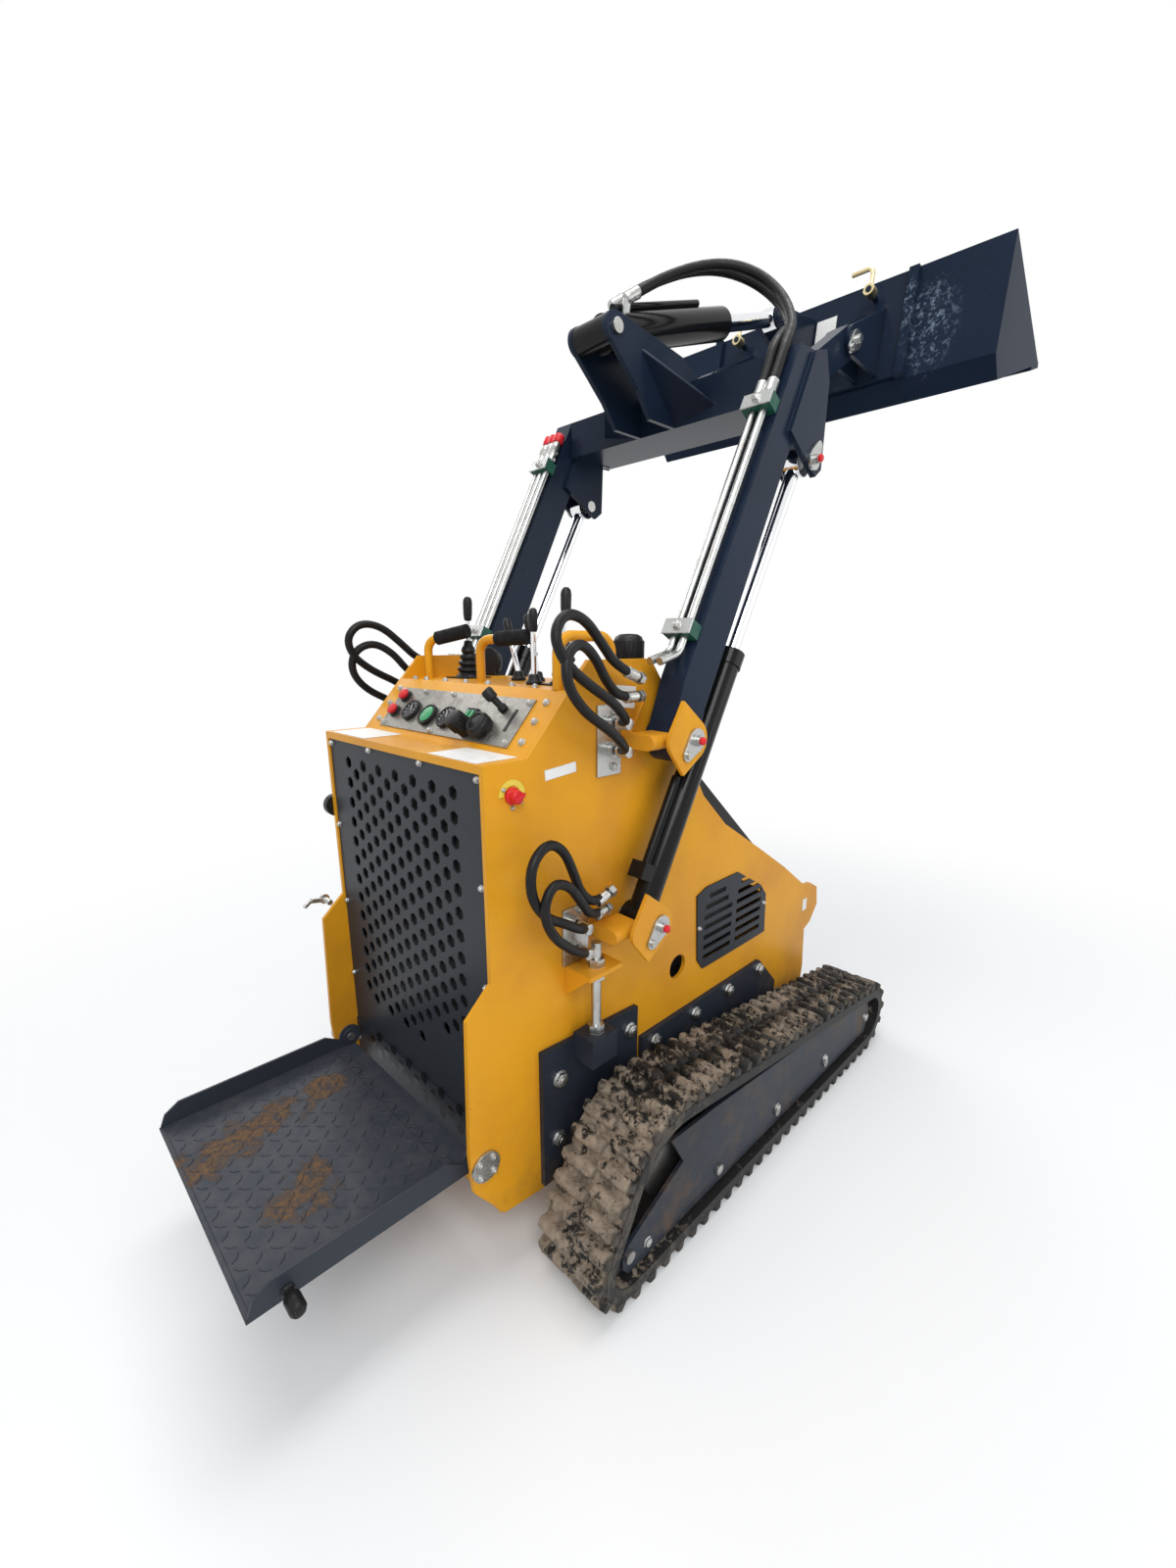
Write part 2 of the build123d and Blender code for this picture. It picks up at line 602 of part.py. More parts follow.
sprocket_wheel += cross_pin(SPROCKET[:2], MOTOR_R, -FRAME_OUT + 30, -BODY_HALF - MOUNT_T)
parts["track_wheels"] = [shape for wheel_shape in wheels + [sprocket_wheel] for shape in both_sides(wheel_shape)]

# ------------------------------------------------------------------ lift frame
ARM_REAR = [(433, 1175), (786, 1840)]
ARM_FRONT = [(876, 1845), (500, 1105)]
px, pz = ARM_PIVOT
ARM_HUB_R = 48
tube = plate([(px - 42, pz + 23), *ARM_REAR, *ARM_FRONT, (px + 42, pz - 23)], -ARM_OUT, -ARM_IN)
tube += cross_pin(ARM_PIVOT, ARM_HUB_R, -ARM_OUT, -ARM_IN)
tube += cross_pin(ARM_PIVOT, 36, -EAR_OUTER + BRACKET_T + SIDE_GAP, -BODY_HALF - SIDE_GAP)
KNEE = [(753, 1667), (838, 1839), (883, 1852), (905, 1796), (902, 1718), (898, 1617), (873, 1599)]
tube += plate(KNEE, -ARM_OUT - KNEE_T, -ARM_OUT)
tube += plate(KNEE, -ARM_IN, -ARM_IN + KNEE_T)
tube -= cross_pin(ARM_PIVOT, ARM_PIN_R + RUNNING, -EAR_OUTER, -BODY_HALF)
tube -= cross_pin(KNEE_PIVOT, CYLINDER_PIN_R, -EAR_OUTER, -BODY_HALF)
parts["lift_arm_right"] = tube
parts["lift_arm_left"] = mirror(tube, about=Plane.XZ)

KNEE_INNER = ARM_IN - KNEE_T
frame_piece = block(BEAM_X, (-KNEE_INNER, KNEE_INNER), BEAM_Z)
tx, tz = TOWER_PIVOT
TOWER_OUTLINE = [
    (tx - 27, tz - 15), (641, 1795), (684, BEAM_Z[0]), (BEAM_X[0], BEAM_Z[0]), (BEAM_X[0], BEAM_Z[1]),
    (BEAM_X[1], BEAM_Z[1]), (798, 1903), (tx + 5, tz + 31),
]
brace_face = make_face(Polyline((647, -TOWER_HALF, 1877), (775, -TOWER_HALF, 1746), (775, -175, 1770), close=True))
for side_sign in (-1, 1):
    y_low, y_high = sorted((side_sign * TOWER_HALF, side_sign * (TOWER_HALF - TOWER_T)))
    tower = plate(TOWER_OUTLINE, y_low, y_high) + cross_pin(TOWER_PIVOT, 31, y_low, y_high)
    frame_piece += tower
brace = extrude(brace_face, amount=8)
frame_piece += both_sides(brace)
hx, hz = HITCH_PIVOT
horn = hull_plate([(hx, hz, HORN_BOSS_R)], [(BEAM_X[1], BEAM_Z[0] + 5), (BEAM_X[1], BEAM_Z[1])], -HORN_OUT, -HORN_IN)
horn -= block((BEAM_X[0], BEAM_X[1]), (-HORN_OUT - 1, -HORN_IN + 1), (1700, 1850))
frame_piece += both_sides(horn)
frame_piece -= cross_pin(HITCH_PIVOT, HITCH_PIN_R + RUNNING, -HORN_OUT - 5, HORN_OUT + 5)
frame_piece -= cross_pin(TOWER_PIVOT, CYLINDER_PIN_R, -TOWER_HALF - 1, TOWER_HALF + 1)
parts["cross_beam"] = frame_piece

# Pins of the lift frame: the knees hold the ends of the lift rods' pins, the tower the tilt cylinder's
knee_ends = []
for y_low, y_high in ((-ARM_OUT - KNEE_T, -ARM_OUT), (-ARM_IN, -ARM_IN + KNEE_T)):
    knee_ends.append(cross_pin(KNEE_PIVOT, CYLINDER_PIN_R, y_low, y_high))
knee_outer = hull_plate([(KNEE_PIVOT[0], KNEE_PIVOT[1], 22), (KNEE_PIVOT[0] + 18, KNEE_PIVOT[1] + 30, 11)], [],
                        -ARM_OUT - KNEE_T - 6, -ARM_OUT - KNEE_T)
knee_outer += cross_pin(KNEE_PIVOT, 10, -ARM_OUT - KNEE_T - 16, -ARM_OUT - KNEE_T - 6)
knee_ends[0] += knee_outer
tower_pin = cross_pin(TOWER_PIVOT, CYLINDER_PIN_R, -TOWER_HALF - 8, TOWER_HALF + 8)
parts["frame_pins"] = both_sides(knee_ends[0]) + both_sides(knee_ends[1]) + [tower_pin]

# Zinc pipes behind each arm: side and distance from the arm's inner face
PIPE_R = 8
PIPE_CLEAR = 8
PIPE_SIDE = -PIPE_R - PIPE_CLEAR  # centre of a pipe behind the arm's rear edge
PIPE_HEAD = 620  # along the arm's rear edge
PIPE_BEND = 40
PIPE_FOOT_DROP = 45
PIPES = [(-1, 13), (-1, 37), (1, 7), (1, 29), (1, 51)]
# Clamps: side and distance from the arm's inner face
CLAMPS = [(-1, 25), (1, 29)]
CLAMP_STATIONS = (90, 600)
CLAMP_HALF = 33
CLAMP_LENGTH = 30
rear_start, rear_end = ARM_REAR
pipes = []
for sign, inset in PIPES:
    y = sign * (ARM_IN + inset)
    low = along(rear_start, rear_end, PIPE_BEND, PIPE_SIDE)
    high = along(rear_start, rear_end, PIPE_HEAD, PIPE_SIDE)
    foot = along(rear_start, rear_end, 0, PIPE_SIDE - PIPE_FOOT_DROP)
    path = FilletPolyline((foot[0], y, foot[1]), (low[0], y, low[1]), (high[0], y, high[1]), radius=30)
    pipes.append(sweep(Plane(origin=path @ 0, z_dir=path % 0) * Circle(PIPE_R), path=path))
clamps = []
for sign, inset in CLAMPS:
    middle = ARM_IN + inset
    low_y, high_y = sorted((sign * (middle - CLAMP_HALF), sign * (middle + CLAMP_HALF)))
    for station in CLAMP_STATIONS:
        start, end = station - CLAMP_LENGTH / 2, station + CLAMP_LENGTH / 2
        corners = [(start, 0), (end, 0), (end, 2 * PIPE_SIDE), (start, 2 * PIPE_SIDE)]
        clamp = plate([along(rear_start, rear_end, s, side) for s, side in corners], low_y, high_y)
        for pipe_sign, pipe_inset in PIPES:
            if pipe_sign == sign:
                y = sign * (ARM_IN + pipe_inset)
                p0 = along(rear_start, rear_end, start - 25, PIPE_SIDE)
                p1 = along(rear_start, rear_end, end + 25, PIPE_SIDE)
                clamp -= bar((p0[0], y, p0[1]), (p1[0], y, p1[1]), PIPE_R)
        clamps.append(clamp)
parts["arm_pipes"] = pipes
parts["pipe_clamps"] = clamps

# Quick couplers at the head of the left pipes
COUPLER_R = 10
COUPLER_LENGTH = 80
couplers = []
for sign, inset in PIPES:
    if sign > 0:
        y = ARM_IN + inset
        base = along(rear_start, rear_end, PIPE_HEAD + SEAT, PIPE_SIDE)
        tip = along(rear_start, rear_end, PIPE_HEAD + COUPLER_LENGTH, PIPE_SIDE)
        couplers.append(bar((base[0], y, base[1]), (tip[0], y, tip[1]), COUPLER_R))
parts["quick_couplers"] = couplers

TOP_HOSES = [
    [(640, -22, 1986), (688, -40, 2020), (742, -66, 2052), (800, -104, 2076), (850, -150, 2080), (884, -204, 2054),
     (890, -254, 2006), (868, -296, 1950), (832, -326, 1898), (780, -344, 1852),
     (746, -352, 1798.8), (709.7, -352, 1730.4)],
    [(640, 22, 1986), (696, 10, 2026), (756, -14, 2062), (820, -52, 2090), (880, -102, 2096), (924, -160, 2070),
     (938, -218, 2020), (918, -268, 1958), (868, -300, 1914), (806, -316, 1878), (760, -326, 1838),
     (742, -328, 1791.3), (709.7, -328, 1730.4)],
]
parts["top_hoses"] = [hose(route) for route in TOP_HOSES]

# ------------------------------------------------------------------ cylinders
lift_length = math.dist(CYLINDER_PIVOT, KNEE_PIVOT)


def lift_point(distance, side=0.0):
    """A point on the lift cylinder's line in X-Z; side is to its rear."""
    return along(CYLINDER_PIVOT, KNEE_PIVOT, distance, -side)


def lift_bar(start, end, radius, side=0.0, y=-LIFT_Y):
    a, b = lift_point(start, side), lift_point(end, side)
    return bar((a[0], y, a[1]), (b[0], y, b[1]), radius)


barrel = lift_bar(10, LIFT_BARREL_LENGTH, LIFT_BARREL_R)
barrel += lift_bar(LIFT_BARREL_LENGTH - 30, LIFT_BARREL_LENGTH + 4, LIFT_BARREL_R + 3)
barrel += cross_pin(CYLINDER_PIVOT, LIFT_EYE_R, -LIFT_Y - LIFT_EYE_HALF - 8, -LIFT_Y + LIFT_EYE_HALF + 8)
barrel += lift_bar(90, 300, 10, side=LIFT_BARREL_R + 8)
port = plate([lift_point(75, 20), lift_point(110, 20), lift_point(110, 62), lift_point(75, 62)],
             -LIFT_Y - 18, -LIFT_Y + 18)
barrel += port
barrel -= cross_pin(CYLINDER_PIVOT, CYLINDER_PIN_R + RUNNING, -EAR_OUTER, -BODY_HALF)
barrel -= lift_bar(LIFT_BORE, LIFT_BARREL_LENGTH + 5, LIFT_ROD_R + RUNNING)
parts["lift_barrel_right"] = barrel
parts["lift_barrel_left"] = mirror(barrel, about=Plane.XZ)

rod = lift_bar(LIFT_BORE + LIFT_STROKE + END_GAP, lift_length, LIFT_ROD_R)
rod += cross_pin(KNEE_PIVOT, LIFT_EYE_R, -LIFT_Y - LIFT_EYE_HALF, -LIFT_Y + LIFT_EYE_HALF)
parts["lift_rod_right"] = rod
parts["lift_rod_left"] = mirror(rod, about=Plane.XZ)

tilt_length = math.dist(TOWER_PIVOT, TILT_PIVOT)


def tilt_bar(start, end, radius, side=0.0, y=0.0):
    a = along(TOWER_PIVOT, TILT_PIVOT, start, -side)
    b = along(TOWER_PIVOT, TILT_PIVOT, end, -side)
    return bar((a[0], y, a[1]), (b[0], y, b[1]), radius)


tilt_barrel = tilt_bar(20, TILT_BARREL_LENGTH, TILT_BARREL_R)
tilt_barrel += cross_pin(TOWER_PIVOT, TILT_EYE_R, -TOWER_HALF + TOWER_T + SIDE_GAP, TOWER_HALF - TOWER_T - SIDE_GAP)
tilt_barrel += tilt_bar(70, 400, 9, side=TILT_BARREL_R + 8)
tilt_barrel -= cross_pin(TOWER_PIVOT, CYLINDER_PIN_R + RUNNING, -TOWER_HALF, TOWER_HALF)
tilt_barrel -= tilt_bar(TILT_BORE, TILT_BARREL_LENGTH + 1, TILT_ROD_R + RUNNING)
parts["tilt_barrel"] = tilt_barrel
tilt_rod = tilt_bar(TILT_BORE + TILT_RETRACT + END_GAP, tilt_length, TILT_ROD_R)
tilt_rod += cross_pin(TILT_PIVOT, TILT_EYE_R, -TILT_EYE_HALF, TILT_EYE_HALF)
parts["tilt_rod"] = tilt_rod

# ------------------------------------------------------------------ quick attach and bucket
def on_back(s, out=0.0):
    """X-Z point on the bucket's back: distance up from its lower corner and distance out behind it."""
    return along(BUCKET_BACK_LOW, BUCKET_BACK_TOP, s, -out)


attach = plate([on_back(8), on_back(272), on_back(272, ATTACH_T), on_back(8, ATTACH_T)], -ATTACH_HALF, ATTACH_HALF)
hitch_ears = []
for outer in (250, 190):
    ear = hull_plate([(hx, hz, 38)], [on_back(20, ATTACH_T), on_back(200, ATTACH_T)], -outer, -outer + EAR_T)
    attach += both_sides(ear)
TILT_EAR = 34
tilt_ear = hull_plate([(*TILT_PIVOT, 26)], [on_back(90, ATTACH_T), on_back(235, ATTACH_T)], -TILT_EAR, -TILT_EAR + EAR_T)
attach += both_sides(tilt_ear)
LATCH = (214, 232)  # Y of a latch's stud and its distance up the back
LATCH_STUD_R = 8
attach -= cross_pin(HITCH_PIVOT, HITCH_PIN_R, -252, 252)
attach -= cross_pin(TILT_PIVOT, CYLINDER_PIN_R, -TILT_EAR - 1, TILT_EAR + 1)
for sign in (-1, 1):
    a, b = on_back(LATCH[1], ATTACH_T), on_back(LATCH[1], ATTACH_T + 60)
    attach += bar((a[0], sign * LATCH[0], a[1]), (b[0], sign * LATCH[0], b[1]), LATCH_STUD_R)
parts["quick_attach"] = attach

hitch_pins = [
    shape
    for shape in both_sides(retained_pin(HITCH_PIVOT, HITCH_PIN_R, -250, -176))
]
for y_low, y_high in ((-TILT_EAR - 6, -TILT_EAR + EAR_T), (TILT_EAR - EAR_T, TILT_EAR + 6)):
    hitch_pins.append(cross_pin(TILT_PIVOT, CYLINDER_PIN_R, y_low, y_high))
parts["hitch_pins"] = hitch_pins

latch_hub_low = on_back(LATCH[1], ATTACH_T + 30)
latch_hub_high = on_back(LATCH[1], ATTACH_T + 58)
latch_mid = on_back(LATCH[1], ATTACH_T + 44)
latch_top = on_back(LATCH[1] + 62, ATTACH_T + 44)
y = -LATCH[0]
latch = bar((latch_hub_low[0], y, latch_hub_low[1]), (latch_hub_high[0], y, latch_hub_high[1]), 15)
lever_path = FilletPolyline(
    (latch_mid[0], y, latch_mid[1]), (latch_top[0], y, latch_top[1]), (latch_top[0], y + 60, latch_top[1]), radius=16,
)
lever = sweep(Plane(origin=lever_path @ 0, z_dir=lever_path % 0) * Circle(6), path=lever_path)
latch += lever
stud_start = on_back(LATCH[1], ATTACH_T)
stud_end = on_back(LATCH[1], ATTACH_T + 70)
latch -= bar((stud_start[0], y, stud_start[1]), (stud_end[0], y, stud_end[1]), LATCH_STUD_R + RUNNING)
parts["latch_handle_right"] = latch
parts["latch_handle_left"] = mirror(latch, about=Plane.XZ)

outer = [BUCKET_BACK_TOP, BUCKET_BACK_LOW, BUCKET_HEEL, BUCKET_LIP]
shell = plate(outer, -BUCKET_HALF, BUCKET_HALF)
sheet_line = [BUCKET_LIP, BUCKET_HEEL, BUCKET_BACK_LOW, BUCKET_BACK_TOP]
bucket = bent_sheet(sheet_line, BUCKET_T, -BUCKET_HALF, BUCKET_HALF)
for y_low in (-BUCKET_HALF, BUCKET_HALF - BUCKET_T):
    bucket += plate(outer, y_low, y_low + BUCKET_T)
# Cutting edge below the floor, and the hook frame that the quick attach seats in
edge = [along(BUCKET_HEEL, BUCKET_LIP, s, d) for s, d in ((330, 0), (407, 0), (407, 10), (330, 10))]
bucket += plate(edge, -BUCKET_HALF, BUCKET_HALF)
RECEIVER_OUT = 328
RECEIVER_DEPTH = 26
for sign in (-1, 1):
    y_low, y_high = sorted((sign * (ATTACH_HALF + 2), sign * RECEIVER_OUT))
    bucket += plate([on_back(2), on_back(278), on_back(278, RECEIVER_DEPTH), on_back(2, RECEIVER_DEPTH)], y_low, y_high)
parts["bucket"] = bucket

# ------------------------------------------------------------------ footplate
fx, fz = PLATFORM_PIVOT
FLANGE_T = 5
foot = block((PLATFORM_REAR_X, -20), (-PLATFORM_HALF, PLATFORM_HALF), (PLATFORM_TOP_Z - PLATFORM_T, PLATFORM_TOP_Z))
tread_half = PLATFORM_HALF - FLANGE_T - TREAD_MARGIN
foot += block((PLATFORM_REAR_X + TREAD_MARGIN, fx - 45), (-tread_half, tread_half),
              (PLATFORM_TOP_Z, PLATFORM_TOP_Z + TREAD_H))
flange_low = PLATFORM_TOP_Z - PLATFORM_T
flange = plate(
    [(PLATFORM_REAR_X, flange_low), (PLATFORM_REAR_X + 12, flange_low + 30), (PLATFORM_REAR_X + 40, PLATFORM_FLANGE_Z),
     (fx - 60, PLATFORM_FLANGE_Z), (fx - 27, fz), (fx - 10, flange_low)],
    -PLATFORM_HALF, -PLATFORM_HALF + FLANGE_T,
)
flange += cross_pin(PLATFORM_PIVOT, 27, -PLATFORM_HALF, -PLATFORM_HALF + FLANGE_T)
flange += cross_pin(PLATFORM_PIVOT, 20, -PLATFORM_HALF - 6, -PLATFORM_HALF + 10)
foot += both_sides(flange)
foot -= cross_pin(PLATFORM_PIVOT, PLATFORM_PIN_R + RUNNING, -BODY_HALF, BODY_HALF)
PLUNGER = (-388, 276)
parts["platform"] = foot

plunger = cross_pin(PLUNGER, 9, -284, -PLATFORM_HALF)
plunger += cross_pin(PLUNGER, 5, -312, -284)
plunger += cross_pin(PLUNGER, 13, -345, -312)
parts["platform_latch"] = plunger

hinge_pin = cross_pin(PLATFORM_PIVOT, PLATFORM_PIN_R, -BODY_HALF - 6, -PLATFORM_HALF + 12)
hinge_pin += cross_pin(PLATFORM_PIVOT, 30, -BODY_HALF - 6, -BODY_HALF)
parts["pivot_pins"] += both_sides(hinge_pin)

# ------------------------------------------------------------------ export
solids = {}
for name, group in parts.items():
    shapes = group if isinstance(group, list) else [group]
    solids[name] = Compound([solid for shape in shapes for solid in shape.solids()])
boxes = [shape.bounding_box() for shape in solids.values()]
low_x = min(box.min.X for box in boxes)
high_x = max(box.max.X for box in boxes)
low_y = min(box.min.Y for box in boxes)
high_y = max(box.max.Y for box in boxes)
low_z = min(box.min.Z for box in boxes)
ORIGIN_X = (low_x + high_x) / 2
ORIGIN_Y = (low_y + high_y) / 2
print("origin", round(ORIGIN_X, 3), round(ORIGIN_Y, 3), round(low_z, 3), "nodes", len(solids))
for name, shape in solids.items():
    export_step(Pos(-ORIGIN_X, -ORIGIN_Y, -low_z) * shape, f"parts/{name}.step")
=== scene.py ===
"""Looks of the compact track loader: materials, hoses, fasteners, controls, mud and soft studio light."""
import json
from math import acos, asin, atan2, copysign, cos, dist, hypot, pi, radians, sin, tan

import bmesh
import bpy
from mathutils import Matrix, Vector, noise


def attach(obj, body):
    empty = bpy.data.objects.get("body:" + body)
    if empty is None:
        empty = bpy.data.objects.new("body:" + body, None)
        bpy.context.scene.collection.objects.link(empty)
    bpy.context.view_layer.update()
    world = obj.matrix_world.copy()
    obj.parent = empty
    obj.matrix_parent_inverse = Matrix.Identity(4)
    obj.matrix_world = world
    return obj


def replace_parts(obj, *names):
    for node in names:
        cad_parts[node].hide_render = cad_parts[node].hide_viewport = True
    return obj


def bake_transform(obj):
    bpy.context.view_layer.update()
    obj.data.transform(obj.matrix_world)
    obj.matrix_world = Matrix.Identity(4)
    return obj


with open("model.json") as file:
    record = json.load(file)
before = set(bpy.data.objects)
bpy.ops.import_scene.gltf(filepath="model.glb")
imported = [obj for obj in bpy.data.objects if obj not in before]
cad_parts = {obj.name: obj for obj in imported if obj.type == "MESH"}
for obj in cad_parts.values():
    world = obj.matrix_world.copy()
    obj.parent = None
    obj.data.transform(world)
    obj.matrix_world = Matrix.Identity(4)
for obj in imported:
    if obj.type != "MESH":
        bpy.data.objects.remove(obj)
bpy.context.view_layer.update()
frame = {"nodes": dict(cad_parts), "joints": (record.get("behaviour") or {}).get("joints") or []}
NODES = frame["nodes"]
SCENE = bpy.context.scene

# ---------- the machine's own axes
JOINTS = {joint["name"]: joint for joint in frame["joints"]}
ORIGIN_X = 0.437 - JOINTS["lift"]["pos_m"][0]
X, Y, Z = Vector((1, 0, 0)), Vector((0, 1, 0)), Vector((0, 0, 1))


def at(x, y, z):
    """The frame's point for millimetres ahead of the rear panel, left of the middle and above the ground."""
    return Vector((x / 1000 - ORIGIN_X, y / 1000, z / 1000))


def placed(name, data):
    """A new object of the scene."""
    made = bpy.data.objects.new(name, data)
    SCENE.collection.objects.link(made)
    return made


def turns(count):
    """The even angles of a full turn."""
    return [2 * pi * i / count for i in range(count)]


def walls(bm, first, second):
    """Faces between two closed loops of as many points."""
    for i in range(len(first)):
        j = (i + 1) % len(first)
        bm.faces.new((first[i], second[i], second[j], first[j]))


def piece_from(name, bm, materials, sharp=None):
    """An object from a bmesh, which is freed. An angle in degrees makes it smooth but for sharper edges."""
    bmesh.ops.recalc_face_normals(bm, faces=bm.faces)
    mesh = bpy.data.meshes.new(name)
    bm.to_mesh(mesh)
    bm.free()
    if sharp:
        mesh.shade_smooth()
        mesh.set_sharp_from_angle(angle=radians(sharp))
    for material in materials:
        mesh.materials.append(material)
    return placed(name, mesh)


# X and Z of pivots and places that several pieces share, and Y of the right side's faces
ARM_PIVOT, CYLINDER_PIVOT, KNEE_PIVOT, HINGE = (437, 1052), (343, 687), (856, 1631), (-30, 295)
SWITCH = (58, 987)
BODY_Y, MOUNT_Y, FRAME_Y = -300, -312, -500
OUTWARD = Vector((0, -1, 0))
SIDES = (1, -1)  # the right side, whose Y is written, and the left, its mirror image


# ---------- camera, light and floor
EYE = at(-577, -1122, 1236.5)
HEADING = radians(45.2)
PITCH = radians(14.06)

camera_data = bpy.data.cameras.new("camera")
camera_data.sensor_width = 36
camera_data.lens = 14.43
camera_data.shift_y = 0.0108
camera_data.clip_end = 60
camera = placed("camera", camera_data)
camera.location = EYE
camera.rotation_euler = (pi / 2 - PITCH, 0, HEADING - pi / 2)
SCENE.camera = camera
SCENE.view_settings.view_transform = "Standard"


def area_light(name, place, target, size, watts):
    data = bpy.data.lights.new(name, "AREA")
    data.shape = "RECTANGLE"
    data.size, data.size_y = size
    data.energy = watts
    lamp = placed(name, data)
    lamp.location = place
    lamp.rotation_euler = (Vector(target) - Vector(place)).to_track_quat("-Z", "Y").to_euler()


area_light("key", (-3.2, -3.4, 4.6), (0, 0, 0.9), (3.0, 3.0), 175)
area_light("fill", (2.2, -4.2, 2.2), (0, 0, 0.9), (3.0, 2.4), 30)
area_light("back", (0.5, 4.2, 3.8), (0, 0, 1.2), (3.6, 2.0), 60)
area_light("top", (-0.3, -0.3, 5.2), (-0.3, -0.3, 0), (4.0, 1.2), 80)


class Nodes:
    """A node tree in the making."""

    def __init__(self, tree):
        self.tree = tree
        tree.nodes.clear()

    def node(self, kind, inputs=(), **settings):
        """A new node of a kind, whose ShaderNode is left out, with inputs by name or number and settings."""
        made = self.tree.nodes.new("ShaderNode" + kind)
        for key, value in settings.items():
            setattr(made, key, value)
        for key, value in dict(inputs).items():
            self.put(value, made.inputs[key])
        return made

    def put(self, value, socket):
        """Links an output to the socket, or sets a plain value on it."""
        if isinstance(value, bpy.types.NodeSocket):
            self.tree.links.new(value, socket)
        elif isinstance(value, tuple) and len(value) == 3 and socket.type == "RGBA":
            socket.default_value = (*value, 1)
        else:
            socket.default_value = value

    def calc(self, operation, a, b=0.5, c=0.5):
        return self.node("Math", enumerate((a, b, c)), operation=operation).outputs[0]


# White where the camera or a reflection meets it, and a soft light on the object
world = bpy.data.worlds.new("studio")
world.use_nodes = True
SCENE.world = world
sky = Nodes(world.node_tree)
rays = sky.node("LightPath").outputs
seen = sky.calc("MAXIMUM", rays["Is Camera Ray"], rays["Is Glossy Ray"])
soft = sky.node("Background", {"Color": (0.9, 0.95, 1.0), "Strength": 0.50})
white = sky.node("Background", {"Color": (1, 1, 1), "Strength": 1.0})
sky_mix = sky.node("MixShader", {0: seen, 1: soft.outputs[0], 2: white.outputs[0]})
sky.node("OutputWorld", {"Surface": sky_mix.outputs[0]})


# ---------- materials
class Look(Nodes):
    """A material in the making. Lengths are in metres: a scale of 100 has features of 10 mm."""

    SOFT_EDGE = 0.0018

    def __init__(self, name, colour, rough, metal=0.0, coat=0.0, coat_rough=0.1, shine=0.5):
        self.material = bpy.data.materials.new(name)
        self.material.use_nodes = True
        super().__init__(self.material.node_tree)
        self.normal = self.node("Bevel", {"Radius": self.SOFT_EDGE}, samples=3).outputs[0]
        self.shader = self.node("BsdfPrincipled", {
            "Base Color": colour, "Roughness": rough, "Metallic": metal, "Coat Weight": coat,
            "Specular IOR Level": shine, "Coat Roughness": coat_rough, "Normal": self.normal})
        self.out = self.node("OutputMaterial", {"Surface": self.shader.outputs[0]})
        self.place = self.node("TexCoord").outputs["Object"]

    def set(self, name, value):
        self.put(value, self.shader.inputs[name])

    def noise(self, scale, detail=3.0, rough=0.55, distortion=0.0):
        inputs = {"Vector": self.place, "Scale": scale, "Detail": detail, "Roughness": rough,
                  "Distortion": distortion}
        return self.node("TexNoise", inputs).outputs["Fac"]

    def cells(self, scale):
        return self.node("TexVoronoi", {"Vector": self.place, "Scale": scale}).outputs["Distance"]

    def ramp(self, value, low, high, to_low=0.0, to_high=1.0):
        """A smooth step from one value to another."""
        inputs = {"Value": value, "From Min": low, "From Max": high, "To Min": to_low, "To Max": to_high}
        return self.node("MapRange", inputs, clamp=True, interpolation_type="SMOOTHSTEP").outputs["Result"]

    def times(self, a, b):
        return self.calc("MULTIPLY", a, b)

    def mix(self, share, a, b):
        return self.node("Mix", {"Factor": share, 6: a, 7: b}, data_type="RGBA").outputs[2]

    def axis(self, name):
        return self.node("SeparateXYZ", {0: self.place}).outputs[name]

    def facing(self, name):
        """A component of the surface's own direction, in the frame's axes at rest."""
        normal = self.node("TexCoord").outputs["Normal"]
        return self.node("SeparateXYZ", {0: normal}).outputs[name]

    def blob(self, centre, radii):
        """1 at a point of the frame, falling to 0 at an ellipsoid's surface."""
        offset = self.node("VectorMath", {0: self.place, 1: centre}, operation="SUBTRACT").outputs[0]
        share = self.node("VectorMath", {0: offset, 1: radii}, operation="DIVIDE").outputs[0]
        reach = self.node("VectorMath", {0: share}, operation="LENGTH").outputs["Value"]
        return self.ramp(reach, 0.35, 1.0, 1.0, 0.0)

    def bump(self, height, strength, distance):
        inputs = {"Height": height, "Strength": strength, "Distance": distance, "Normal": self.normal}
        self.normal = self.node("Bump", inputs).outputs[0]
        self.set("Normal", self.normal)


DIRT = (0.16, 0.10, 0.055)
DUST = (0.30, 0.24, 0.17)
# Lighter blue-white of the bucket's scuffs: wear together with a painted reflection
SCUFF_AND_SHEEN = (0.30, 0.38, 0.48)


